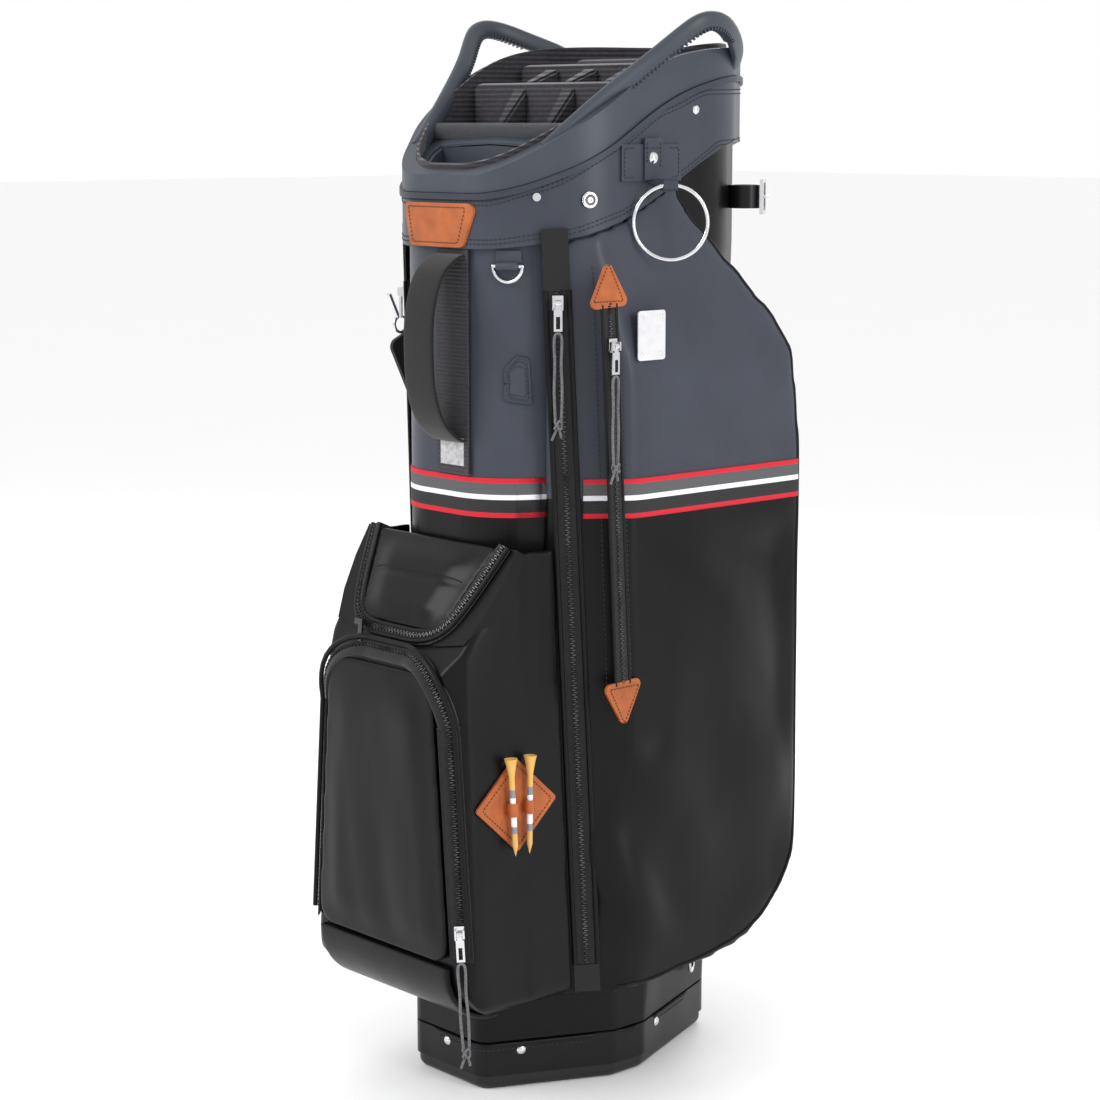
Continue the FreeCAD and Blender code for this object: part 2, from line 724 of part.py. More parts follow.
def front_profile(face, inset):
    """The front pocket seen from the side, up to its shelf."""
    low = size("front_low") + inset
    back = depth_at(0.3)
    return [(back, low), (-face, low), (-face, size("front_high") - inset),
            (-size("lid_reach") + 3, shelf_level() - inset), (back, shelf_level() - inset)]


def shelf_level():
    """The top of the front pocket's shell, on which the lid pocket's tray sits."""
    return size("lid_low") - size("lid_thick") - 2


def beyond_chamfer(depth):
    """All that lies outside the two slanted corners on which the front zip runs."""
    frame, _ = front_zip_frame()
    wedge = Part.makeBox(3 * FAR, 3 * FAR, FAR, Vector(-FAR, -1.5 * FAR, -depth))
    wedge.Placement = frame
    return wedge.fuse(mirrored(wedge))


def make_front_pocket():
    wall, chamfer = size("front_wall"), size("front_chamfer")
    face = shell_face()
    outer = side_view(front_profile(face, 0), [4, 46, 12, 6, 4], -FAR, FAR)
    outer = outer.common(front_body(face, 0)).cut(beyond_chamfer(0))
    inner = side_view(front_profile(face - wall, wall), [4, 42, 10, 4, 4], -FAR, FAR)
    inner = inner.common(front_body(face, wall)).cut(beyond_chamfer(wall))
    shell = outer.cut(inner)
    lip = 8
    sill, high = size("front_sill") + lip + 4, size("front_high") - lip - 4
    low_half, top_half = front_half(sill) - chamfer - lip, front_half(high) - chamfer - lip
    window = front_view([(-low_half, sill), (low_half, sill), (top_half, high), (-top_half, high)],
                        [12, 12, 30, 30], -face - 20, -face + 20)
    shell = shell.cut(window).cut(tube_solid(size("clearance"))).cut(base_keepout())
    for pocket in ("right_pocket", "left_pocket"):
        shell = shell.cut(doc.getObject(pocket).Shape)
    shell = shell.cut(zip_clear())
    piece("front_pocket_shell", max(shell.Solids, key=lambda part: part.Volume))

    door_body = plate("front_pocket_door", "XZ_Plane", [
        ("-Sizes.front_half_low + Sizes.front_chamfer", "Sizes.front_sill + 1"),
        ("Sizes.front_half_low - Sizes.front_chamfer", "Sizes.front_sill + 1"),
        ("Sizes.front_half_high - Sizes.front_chamfer + 1", "Sizes.front_high"),
        ("-Sizes.front_half_high + Sizes.front_chamfer - 1", "Sizes.front_high")],
        "Sizes.front_face - Sizes.door_thick", "Sizes.door_thick")
    round_edges(door_body, Vector(0, 1, 0), "Sizes.door_radius * 0.4")
    node(door_body, "front_pocket_door")

    under, top = size("front_low") - size("door_thick"), size("front_sill") - 0.5
    half = size("front_half_low") - chamfer
    skirt = side_view([(-150, under), (-size("front_face"), under), (-size("front_face"), top), (-150, top)],
                      [1, 52, 1, 1], -half, half)
    room = side_view([(0, size("front_low") - 0.05), (-face - 0.05, size("front_low") - 0.05),
                      (-face - 0.05, top + 20), (0, top + 20)], [1, 46, 1, 1], -FAR, FAR)
    piece("front_pocket_skirt", skirt.cut(room))


def zip_clear():
    """The room that the side zips, their tapes and their sliders need."""
    high, low = zip_line()
    length = (low - high).Length
    strip = strip_on(zip_frame(), -80, length + 40, size("zip_tape") + 6, -0.4, 80)
    return strip.fuse(mirrored(strip))


def lid_frame():
    """On the lid's hinge line: X down the lid's slope, Z out of its face."""
    high = Vector(0, -depth_limit(), size("lid_high"))
    low = Vector(0, -size("lid_reach"), size("lid_low"))
    return frame_on(high, low - high, Vector(0, -1, 1)), (low - high).Length


def depth_limit():
    return size("tube_half_depth") - size("tube_shift") + 6


def make_lid():
    frame, length = lid_frame()
    thick, half, front_half_lid = size("lid_thick"), size("lid_half_width"), size("lid_front_half")
    corners = [Vector(1, -half, 0), Vector(length, -front_half_lid, 0), Vector(length, front_half_lid, 0), Vector(1, half, 0)]
    lid = prism(corner_wire(corners, [4, 18, 18, 4]), Vector(0, 0, -thick))
    lid.Placement = frame
    piece("lid_flap", lid)

    wall, gap = size("front_wall"), size("clearance")
    floor = shelf_level() + gap
    front = -size("lid_reach") + 3
    room = side_view([(depth_at(0.3), floor), (front, floor), (front, floor + 3), (-depth_limit() + 2, size("lid_high") - 5),
                      (depth_at(0.3), size("lid_high") - 5)], [3, 1, 1, 3, 3], -FAR, FAR)
    room = room.common(front_body(shell_face(), 0))
    under = Part.makeBox(FAR, FAR, FAR, Vector(-FAR / 2, -FAR / 2, -thick - gap))
    under.Placement = frame
    tray = room.cut(under)
    hollow = side_view([(depth_at(0.3), floor + wall), (front + wall, floor + wall), (front + wall, floor + 60),
                        (depth_at(0.3), floor + 160)], [1, 1, 1, 1], -FAR, FAR)
    hollow = hollow.common(front_body(shell_face(), wall))
    tray = tray.cut(hollow).cut(tube_solid(gap)).cut(zip_clear())
    for pocket in ("right_pocket", "left_pocket"):
        tray = tray.cut(doc.getObject(pocket).Shape)
    piece("lid_pocket_tray", max(tray.Solids, key=lambda part: part.Volume))

    rail = lid_rail_frame()
    slider = Part.makeBox(10, 5, 5, Vector(-5, -6.5, gap))
    tab = Part.makeBox(5, 15, 1.6, Vector(-2.5, -21, 1.6))
    pull = slider.fuse(tab)
    pull.Placement = rail
    piece("lid_zip_slider", pull)


def lid_rail_frame():
    """The lower edge of the lid, where its zip runs: X along the edge, Z forward."""
    spot = Vector(-size("lid_front_half") * 0.7, -size("lid_reach") - 7, size("lid_low") + 2)
    return frame_on(spot, Vector(1, 0, 0), Vector(0, -1, 0.1))


FRONT_ZIP_FACING = Vector(0.73, -0.683, 0)


def front_zip_frame():
    """The straight side of the front zip: X up the edge, Z out of the slanted corner."""
    inward, depth = size("front_chamfer") / 2, -size("front_face") + 9.5
    low_level, high_level = size("front_sill") + 30, size("front_high") - 42
    low = Vector(front_half(low_level) - inward, depth, low_level)
    high = Vector(front_half(high_level) - inward, depth, high_level)
    return frame_on(low, high - low, FRONT_ZIP_FACING), (high - low).Length


def front_slider_frame():
    """The slider at the zip's lower end: X down along the edge, Z out of the corner."""
    frame, _ = front_zip_frame()
    return frame.multiply(FreeCAD.Placement(Vector(0, 0, 0), FreeCAD.Rotation(Vector(0, 0, 1), 180)))


def make_front_zip():
    slider_and_pull("front_zip", front_slider_frame(), 0)


# ---- stripes, leather, hardware ----

def make_stripes():
    low, high, thick = size("stripe_low"), size("stripe_high"), size("stripe_thick")
    face = size("pocket_face")
    bands = []
    right = box_between((face + 0.05, depth_at(0.255) + 14, low), (face + thick, size("pocket_rear") - 10, high))
    bands += [right, mirrored(right)]
    reach = size("tube_half_width") - 22
    front = box_between((-reach, -FAR, low), (reach, 0, high))
    front = tube_below(thick + 0.1).common(front).cut(tube_below(0.1)).cut(zip_clear())
    for pocket in ("right_pocket", "left_pocket"):
        front = front.cut(doc.getObject(pocket).Shape)
    bands.append(max(front.Solids, key=lambda part: part.Volume))
    piece("stripe_bands", Part.Compound(bands))


def make_front_trim():
    low, high = size("shoulder_front") + 1, size("collar_front") - 8
    outline = front_view([(-33, low), (35, low), (47, high), (-45, high)], [6, 6, 6, 6], -FAR, 0)
    ring = tube_ring(size("collar_thick") + 0.1 + size("leather"), size("collar_thick") + 0.1)
    piece("leather_patch", ring.common(outline))

    strip_face = size("tube_half_depth") - size("tube_shift") + 0.9
    low, high = size("stripe_high") + 1, size("shoulder_front") - 1
    strip = box_between((-4, -strip_face - 1.6, low), (36, -strip_face, high))
    piece("webbing_strip", strip.cut(tube_solid(0.1)))

    out = strip_face + 2.2
    top, bottom = high - 2, size("stripe_high") + 28
    mid = (top + bottom) / 2
    outer = [(-out, top), (-out - 22, top - 22), (-out - 36, mid), (-out - 22, bottom + 26), (-out, bottom),
             (-out, bottom + 12), (-out - 19, bottom + 30), (-out - 32.5, mid), (-out - 19, top - 26), (-out, top - 12)]
    loop = side_view(outer, [1, 14, 60, 14, 1, 1, 12, 56, 12, 1], -4, 34)
    piece("lift_handle", loop)


def make_rings():
    front_start = Vector(size("tube_half_width") * 0.3, -size("tube_half_depth") * 0.35, size("shoulder_front") - 3.5)
    base_start = Vector(size("base_half_width") * 0.4, size("base_half_depth") * 0.52, size("foot_height") + 45)
    tabs = [
        hanging_ring("front", front_start, Vector(0.45, -0.893, 0)),
        hanging_ring("base", base_start, Vector(0.8, 0.6, 0)),
    ]
    piece("ring_tabs", Part.Compound(tabs))


def surface_point(start, facing):
    """Where a ray from inside, in the facing direction, leaves the tube."""
    line = Part.LineSegment(start, start + facing * FAR).toShape()
    inside = line.common(tube_solid(size("clearance")))
    return max((v.Point for v in inside.Vertexes), key=lambda p: (p - start).Length)


def hanging_ring(name, start, facing):
    """A D-ring that hangs from a short tab stitched to the tube; returns the tab."""
    wire, half = size("dring_wire"), size("dring_half")
    face = surface_point(start, facing) + facing * 0.6
    place = frame_on(face, Vector(0, 0, -1), facing)
    tab = Part.makeBox(10.5, 22, 2, Vector(-2.5, -11, 0.3))
    barrel = Part.makeCylinder(3.6, 19, Vector(10, -9.5, 4.2), Vector(0, 1, 0))
    hole = Part.makeCylinder(wire + 0.08, 20, Vector(10, -10, 4.2), Vector(0, 1, 0))
    tab = tab.fuse(barrel).cut(hole)
    bar = Part.makeCylinder(wire, 2 * half, Vector(10, -half, 4.2), Vector(0, 1, 0))
    bow = Part.makeTorus(half, wire, Vector(10, 0, 4.2), Vector(0, 0, 1), 0, 360, 360)
    keep = Part.makeBox(3 * half, 4 * half, 20, Vector(10, -2 * half, -6))
    ring = bar.fuse([bow.common(keep), Part.makeSphere(wire, Vector(10, -half, 4.2)), Part.makeSphere(wire, Vector(10, half, 4.2))])
    for shape in (tab, ring):
        shape.Placement = place
    piece(name + "_d_ring", ring)
    return max(tab.cut(tube_solid(0.1)).Solids, key=lambda part: part.Volume)


def towel_place():
    turn = math.radians(size("ring_turn"))
    out = size("tube_half_width") + size("collar_thick")
    reach = size("ring_radius") * math.sin(turn) + size("ring_wire") + 2.5
    centre = Vector(out + reach, depth_at(0.44), 744)
    across = Vector(math.sin(turn), math.cos(turn), 0)
    return centre, across, out


def make_towel_ring():
    centre, across, out = towel_place()
    radius, wire = size("ring_radius"), size("ring_wire")
    facing = across.cross(UP)
    ring = Part.makeTorus(radius, wire, centre, facing)
    piece("towel_ring", ring)
    top = centre + UP * radius
    loop_half = 6
    sag = radius - math.sqrt(radius ** 2 - loop_half ** 2)
    barrel = rod(top - across * loop_half, top + across * loop_half, wire + sag + 2.6)
    bore = rod(top - across * 12, top + across * 12, wire + sag + 0.4)
    y, level = centre.y, top.z + 18
    base = box_between((out + 0.1, y - 34, level - 15), (out + 2.2, y + 34, level + 15))
    tab = box_between((out + 2.2, y - 10, level - 14), (out + 4.6, y + 10, level + 20))
    arm_start = Vector(out + 4.2, y, level - 12)
    arm = Part.makeBox((top - arm_start).Length, 12, 2.6, Vector(0, -6, 2.2))
    arm.Placement = frame_on(arm_start, top - arm_start, across.cross(top - arm_start))
    strap = base.fuse([tab, arm, barrel]).cut(bore)
    piece("towel_strap", strap)


def make_snaps():
    out = size("tube_half_width") + size("collar_thick")
    snaps = []
    level = towel_place()[0].z + size("ring_radius") + 18
    spots = [(Vector(out + 4.7, towel_place()[0].y, level + 4), Vector(1, 0, 0), 5.0)]
    spots.append((Vector(out + 0.1, depth_at(0.62), 836), Vector(1, 0, 0), 4.0))
    for spot, facing, radius in spots:
        snaps.append(rivet(spot, facing, radius))
    corner = (tube_corners(size("collar_thick"))[0] + tube_corners(size("collar_thick"))[1]) * 0.5
    side = tube_corners(0)[1] - tube_corners(0)[0]
    facing = Vector(side.y, -side.x, 0).normalize()
    spot = Vector(corner.x, corner.y, 765.5) - side.normalize() * 2.2 + facing * 0.1
    snaps.append(Part.makeCylinder(3.4, 2.2, spot, facing))
    facing = Vector(0.925, -0.38, 0).normalize()
    bend = Vector(size("tube_half_width") - size("tube_radius"), depth_at(0.336), 763)
    spot = surface_point(bend, facing) + facing * (size("collar_thick") - size("clearance") + 0.2)
    snaps.append(Part.makeCylinder(size("snap_radius"), 2.2, spot, facing))
    piece("collar_snaps", Part.Compound(snaps))


def make_plate():
    wide, tall = size("plate_width"), size("plate_height")
    body = plate("metal_plate", "YZ_Plane", [
        ("-Sizes.plate_width / 2 - 24", "652 - Sizes.plate_height / 2"),
        ("Sizes.plate_width / 2 - 24", "652 - Sizes.plate_height / 2"),
        ("Sizes.plate_width / 2 - 24", "652 + Sizes.plate_height / 2"),
        ("-Sizes.plate_width / 2 - 24", "652 + Sizes.plate_height / 2")],
        "Sizes.pocket_face + 0.1", "Sizes.plate_thick")
    round_edges(body, Vector(1, 0, 0), "2.5")
    node(body, "metal_plate")
    face = size("pocket_face") + 0.1 + size("plate_thick")
    heads = []
    for a in (-1, 1):
        for b in (-1, 1):
            spot = Vector(face, -24 + a * (wide / 2 - 4.5), 652 + b * (tall / 2 - 5))
            heads.append(rivet(spot, Vector(1, 0, 0), 1.9))
    piece("plate_rivets", Part.Compound(heads))


def tee_frame():
    """On the front pocket's side wall: X up along the wall, Y to the front, Z out of it."""
    level, depth = size("tee_level"), -size("tee_depth")
    low, high = side_spot(level - 40, depth), side_spot(level + 40, depth)
    rear, front = side_spot(level, depth + 40), side_spot(level, depth - 40)
    along = high - low
    return frame_on((low + high) * 0.5 + Vector(0.7, 0, 0), along, (rear - front).cross(along))


TEES = {"tee_front": (7.2, 1.5), "tee_rear": (-7.2, -2.5)}


def tee_axis(lean):
    angle = math.radians(lean)
    return Vector(math.cos(angle), math.sin(angle), 0)


def make_tee_holder():
    """A leather diamond with two stitched loops, and the tees that the loops hold."""
    place = tee_frame()
    leather, shaft, head = size("leather"), size("tee_shaft"), size("tee_head")
    corners = [Vector(-40, 0, 0), Vector(0, -42, 0), Vector(40, 0, 0), Vector(0, 42, 0)]
    patch = prism(corner_wire(corners, [3] * 4), Vector(0, 0, leather))
    lift = leather + head + 0.6
    loops = []
    for label, (across, lean) in TEES.items():
        axis = tee_axis(lean)
        foot = Vector(-42, across, lift)
        tee = tee_shape(foot, axis)
        tee.Placement = place.multiply(tee.Placement)
        piece(label, tee)
        middle = foot + axis * 40
        loop = Part.makeCylinder(shaft + 1.8, 11, middle - axis * 5.5, axis)
        link = Part.makeBox(11, 4, lift - leather, Vector(middle.x - 5.5, middle.y - 2, leather))
        bore = Part.makeCylinder(shaft + 0.08, 30, middle - axis * 15, axis)
        loops.append(loop.fuse(link).cut(bore))
    holder = patch.fuse(loops)
    holder.Placement = place
    piece("tee_holder", holder)


def tee_shape(foot, axis):
    """A wooden tee: a point, a straight shaft and a cupped head, turned about its axis."""
    length, shaft, head = size("tee_length"), size("tee_shaft"), size("tee_head")
    points = [(0, 0), (shaft, 9), (shaft, length - 16), (head * 0.8, length - 4), (head, length), (0, length - 2.5)]
    wire = Part.makePolygon([Vector(r, 0, z) for r, z in points] + [Vector(0, 0, 0)])
    solid = Part.Face(wire).revolve(Vector(0, 0, 0), UP, 360)
    solid.Placement = FreeCAD.Placement(foot, FreeCAD.Rotation(UP, axis))
    return solid


def umbrella_frame():
    """Behind the right side, below the collar: X up, Z out of the tube."""
    side = (tube_corners(0)[3] - tube_corners(0)[2]).normalize()
    facing = Vector(side.y, -side.x, 0)
    face = surface_point(Vector(30, depth_at(0.72), 762), facing)
    return frame_on(face, UP, facing)


def make_umbrella_strap():
    """A leather loop with its buckle: a ring of strap, a frame and the prong on its bar."""
    wide, outer, thick = 20, 14, 2.8
    centre = outer - 0.4
    loop = Part.makeCylinder(outer, wide, Vector(-wide / 2, 0, centre), Vector(1, 0, 0))
    loop = loop.cut(Part.makeCylinder(outer - thick, 30, Vector(-15, 0, centre), Vector(1, 0, 0)))
    top = centre + outer
    frame = Part.makeBox(30, 20, 3, Vector(-15, -10, top))
    frame = frame.cut(Part.makeBox(24, 12, 6, Vector(-12, -6, top - 1)))
    prong = Part.makeCylinder(1.2, 17, Vector(0, -8.5, top + 4.6), Vector(0, 1, 0))
    place = umbrella_frame()
    for shape in (loop, frame, prong):
        shape.Placement = place
    piece("umbrella_strap", loop.cut(tube_solid(0.1)))
    piece("umbrella_buckle", frame)
    piece("buckle_prong", prong)


def make_umbrella_sleeve():
    """The flat fabric loop behind the right pocket that holds the umbrella's tip."""
    back = size("pocket_rear") + 0.5
    low_x, wall, deep = size("base_half_width") - 22, 1.6, 9
    outer = box_between((low_x, back, 405), (low_x + 40, back + deep, 467))
    inner = box_between((low_x + wall, back + wall, 404), (low_x + 40 - wall, back + deep - wall, 468))
    piece("umbrella_sleeve", outer.cut(inner))


def make_shoulder_strap():
    """A flat shoulder strap that lies along the left pocket, with a hook at its top."""
    face = size("pocket_face") + 1.5
    wide, thick = size("strap_width") / 2, size("strap_thick")
    top_y, top_z, low_y, low_z = -66, 640, 120, 250
    along = Vector(0, low_y - top_y, low_z - top_z).normalize()
    side = Vector(0, -along.z, along.y)
    a, b = Vector(0, top_y, top_z), Vector(0, low_y, low_z)
    points = [a - side * wide, b - side * wide, b + side * wide, a + side * wide]
    wire = corner_wire([Vector(-face, p.y, p.z) for p in points], [8, 8, 8, 8])
    piece("shoulder_strap", prism(wire, Vector(-thick, 0, 0)))
    hook_spot = a - along * 9
    eye = Part.makeTorus(7, 1.6, Vector(-face - 2, hook_spot.y, hook_spot.z), Vector(1, 0, 0))
    shank = rod(Vector(-face - 2, hook_spot.y, hook_spot.z) - along * 7, Vector(-face - 2, hook_spot.y, hook_spot.z) - along * 30, 2.4)
    piece("strap_hook", eye.fuse(shank))


def make_leather_trims():
    frame = zip_frame()
    high, low = zip_line()
    reach = (low - high).Length
    cap = strip_on(frame, -50, -0.3, 22, 0.3, 2.6)
    foot_cap = strip_on(frame, reach + 0.3, reach + 24, 22, 0.3, 2.6)
    place, length = valuables_frame()
    half = 23
    upper = [Vector(-37, 0, 0.3), Vector(3, half, 0.3), Vector(3, -half, 0.3)]
    lower = [Vector(length + 38, 0, 0.3), Vector(length - 3, -half, 0.3), Vector(length - 3, half, 0.3)]
    trims = [cap, mirrored(cap), foot_cap, mirrored(foot_cap)]
    for points in (upper, lower):
        shape = prism(corner_wire(points, [5, 5, 5]), Vector(0, 0, size("leather")))
        shape.Placement = place
        shape = shape.cut(strip_on(place, -1, length + 1, size("valuables_tape") + 1, 0, size("zip_thick") + 0.1))
        trims.append(shape)
    piece("zip_end_caps", Part.Compound(trims))


def write_parts():
    doc.recompute()
    for obj in doc.Objects:
        if "Invalid" in obj.State or "Error" in obj.State:
            raise RuntimeError("%s failed: %s" % (obj.Label, obj.State))
    os.makedirs("parts", exist_ok=True)
    for item in NODES:
        shape = item.Shape
        if shape.isNull() or not shape.isValid() or not shape.Solids:
            raise RuntimeError("%s has no sound solid" % item.Label)
        shape.exportStep("parts/%s.step" % item.Label)
    print("%d nodes" % len(NODES))


make_base()
make_tube()
make_dividers()
make_top()
make_handles()
make_putter_well()
make_side_pockets()
make_zips()
make_front_pocket()
make_lid()
make_front_zip()
make_stripes()
make_front_trim()
make_rings()
make_towel_ring()
make_snaps()
make_plate()
make_tee_holder()
make_umbrella_strap()
make_umbrella_sleeve()
make_shoulder_strap()
make_leather_trims()
write_parts()
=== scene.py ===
import json
import math

import bmesh
import bpy
from mathutils import Matrix, Vector, noise


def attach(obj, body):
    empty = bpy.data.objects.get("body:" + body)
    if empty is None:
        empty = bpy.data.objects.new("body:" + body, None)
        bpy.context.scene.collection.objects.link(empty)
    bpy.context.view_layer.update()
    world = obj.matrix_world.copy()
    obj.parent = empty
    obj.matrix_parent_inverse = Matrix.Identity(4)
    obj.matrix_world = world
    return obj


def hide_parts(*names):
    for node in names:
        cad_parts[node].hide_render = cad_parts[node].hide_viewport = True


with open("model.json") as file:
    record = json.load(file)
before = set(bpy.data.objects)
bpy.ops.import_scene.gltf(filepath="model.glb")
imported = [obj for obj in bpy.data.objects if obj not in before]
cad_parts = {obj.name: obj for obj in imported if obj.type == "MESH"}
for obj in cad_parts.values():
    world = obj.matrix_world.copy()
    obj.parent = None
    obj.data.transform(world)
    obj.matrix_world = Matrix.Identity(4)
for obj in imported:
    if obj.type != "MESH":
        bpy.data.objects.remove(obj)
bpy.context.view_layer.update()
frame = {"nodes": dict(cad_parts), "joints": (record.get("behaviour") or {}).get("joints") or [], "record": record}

nodes = frame["nodes"]
joints = {joint["name"]: joint for joint in frame["joints"]}


# ---- camera ----
# A long portrait lens at shoulder height, a little to the right of the bag's front corner.

AIM = Vector((0, 0, 0.455))
DISTANCE = 2.3
AZIMUTH = math.radians(48)
ELEVATION = math.radians(9.3)

bpy.ops.object.select_all(action="DESELECT")
bpy.ops.object.camera_add()
camera = bpy.context.object
toward = Vector((math.sin(AZIMUTH), -math.cos(AZIMUTH), math.tan(ELEVATION))).normalized()
camera.location = AIM + toward * DISTANCE
camera.rotation_euler = (-toward).to_track_quat("-Z", "Y").to_euler()
camera.data.lens = 85.4
camera.data.sensor_width = 36
camera.data.shift_x = -0.0118
camera.data.shift_y = -0.0018
bpy.context.scene.camera = camera


# ---- pull cords ----
# Each zip pull has a loop of thin braided cord through its window.  The two strands hang
# together and are tied in an overhand knot with two short tails.

CORD_DIAMETER = 0.0024
CORD_LIFT = 0.0002
KNOT_BELOW_PIN = 0.0995
KNOT_STEPS = 24
KNOT_TURNS = 1.55
CORD_ROUTE = [
    (96, -2.2), (74, -3.6), (50, -2.4), (35, -3.4), (24.6, -2.9), (24.6, 2.9), (35, 3.2),
    (50, 2.2), (74, 3.8), (96, 2.4),
]

TAILS = [[(0, 0.001), (0.007, -0.003), (0.013, -0.0052)], [(0, -0.001), (0.006, 0.0022), (0.011, 0.0025)]]


def deselect():
    if bpy.context.object and bpy.context.object.mode != "OBJECT":
        bpy.ops.object.mode_set(mode="OBJECT")
    bpy.ops.object.select_all(action="DESELECT")


def take(obj):
    """Selects one object alone."""
    deselect()
    obj.select_set(True)
    bpy.context.view_layer.objects.active = obj
    return obj


def settle(obj, name):
    """Names a finished piece and leaves its place in its mesh."""
    obj.name = name
    obj.data.name = name
    take(obj)
    bpy.ops.object.transform_apply(location=True, rotation=True, scale=True)
    return obj


def use_modifier(obj, kind, **settings):
    take(obj)
    modifier = obj.modifiers.new(kind, kind)
    for key, value in settings.items():
        setattr(modifier, key, value)
    bpy.ops.object.modifier_apply(modifier=modifier.name)
    return obj


def blank_material(name, colour, roughness, metallic=0.0):
    material = bpy.data.materials.new(name)
    material.use_nodes = True
    shader = material.node_tree.nodes["Principled BSDF"]
    shader.inputs["Base Color"].default_value = (*colour, 1)
    shader.inputs["Roughness"].default_value = roughness
    shader.inputs["Metallic"].default_value = metallic
    return material


def add_node(material, kind, **settings):
    node = material.node_tree.nodes.new(kind)
    for key, value in settings.items():
        if hasattr(node, key):
            setattr(node, key, value)
        else:
            node.inputs[key.replace("_", " ")].default_value = value
    return node


def link(material, source, target):
    material.node_tree.links.new(source, target)


def shader_of(material):
    return material.node_tree.nodes["Principled BSDF"]


def object_position(material, scale=(1, 1, 1), turn=(0, 0, 0)):
    place = add_node(material, "ShaderNodeTexCoord")
    mapping = add_node(material, "ShaderNodeMapping")
    mapping.inputs["Scale"].default_value = scale
    mapping.inputs["Rotation"].default_value = turn
    link(material, place.outputs["Object"], mapping.inputs["Vector"])
    return mapping.outputs["Vector"]


def raise_bumps(material, height, distance, strength=1.0):
    """Adds one more layer of bump under the ones already there."""
    shader = shader_of(material)
    bump = add_node(material, "ShaderNodeBump")
    bump.inputs["Distance"].default_value = distance
    bump.inputs["Strength"].default_value = strength
    link(material, height, bump.inputs["Height"])
    earlier = shader.inputs["Normal"].links
    if earlier:
        link(material, earlier[0].from_socket, bump.inputs["Normal"])
    link(material, bump.outputs["Normal"], shader.inputs["Normal"])


def noise_height(material, scale, detail=2.0, position=None):
    texture = add_node(material, "ShaderNodeTexNoise")
    texture.inputs["Scale"].default_value = scale
    texture.inputs["Detail"].default_value = detail
    link(material, position or object_position(material), texture.inputs["Vector"])
    return texture.outputs["Fac"]


def vary_colour(material, dark, light, scale, detail=3.0):
    """Runs the base colour between two close shades."""
    ramp = add_node(material, "ShaderNodeValToRGB")
    ramp.color_ramp.elements[0].position = 0.3
    ramp.color_ramp.elements[0].color = (*dark, 1)
    ramp.color_ramp.elements[1].position = 0.7
    ramp.color_ramp.elements[1].color = (*light, 1)
    link(material, noise_height(material, scale, detail), ramp.inputs["Fac"])
    link(material, ramp.outputs["Color"], shader_of(material).inputs["Base Color"])
    return ramp.outputs["Color"]


def shade(material, colour, low, high, scale, detail=3.0):
    """Runs the base colour between a darker and a lighter shade of one colour."""
    dark = tuple(c * low for c in colour)
    light = tuple(min(1, c * high) for c in colour)
    return vary_colour(material, dark, light, scale, detail)


def add_weave(material, direction, scale, distortion=0.0):
    """The height of a regular weave or rib."""
    wave = add_node(material, "ShaderNodeTexWave", bands_direction=direction, Scale=scale,
                    Distortion=distortion)
    link(material, object_position(material), wave.inputs["Vector"])
    return wave.outputs["Fac"]


def braided_cord():
    material = blank_material("braided_cord", (0.13, 0.13, 0.14), 0.8)
    vary_colour(material, (0.07, 0.07, 0.08), (0.2, 0.2, 0.21), 900)
    raise_bumps(material, add_weave(material, "DIAGONAL", 420, 2.0), 0.0003)
    return material


cord_material = braided_cord()


def pull_axes(hinge, slide):
    """The pin of a pull, and its down, side and outward directions."""
    pin = Vector(joints[hinge]["pos_m"])
    side = -Vector(joints[hinge]["axis"])
    down = Vector((0, 0, -1))
    if slide:
        down = -Vector(joints[slide]["axis"])
    out = down.cross(side).normalized()
    return pin, down, side, out


def cord_spline(name, points, radius):
    curve = bpy.data.curves.new(name, "CURVE")
    curve.dimensions = "3D"
    curve.bevel_depth = radius
    curve.bevel_resolution = 4
    curve.resolution_u = 12
    curve.use_fill_caps = True
    spline = curve.splines.new("NURBS")
    spline.points.add(len(points) - 1)
    for point, place in zip(spline.points, points):
        point.co = (*place, 1)
    spline.order_u = 3
    spline.use_endpoint_u = True
    piece = bpy.data.objects.new(name, curve)
    bpy.context.scene.collection.objects.link(piece)
    piece.data.materials.append(cord_material)
    return piece


def tie_knot(name, centre, down, side, out):
    """An overhand knot of both strands, with two short tails below it."""
    turns = []
    for step in range(KNOT_STEPS + 1):
        angle = step / KNOT_STEPS * math.tau * KNOT_TURNS
        reach = 0.0026 + 0.0006 * math.sin(3 * angle)
        along = 0.0035 * math.sin(1.5 * angle)
        turns.append(centre + down * along + side * reach * math.cos(angle) + out * reach * math.sin(angle))
    lines = [turns]
    for tail in TAILS:
        lines.append([centre + down * below + side * across for below, across in tail])
    parts = []
    for k, line in enumerate(lines):
        part = cord_spline("%s_%d" % (name, k), line, CORD_DIAMETER * 0.45)
        take(part)
        bpy.ops.object.convert(target="MESH")
        parts.append(bpy.context.object)
    deselect()
    for part in parts:
        part.select_set(True)
    bpy.context.view_layer.objects.active = parts[0]
    bpy.ops.object.join()
    knot = settle(bpy.context.object, name)
    bpy.ops.object.shade_smooth()
    return knot


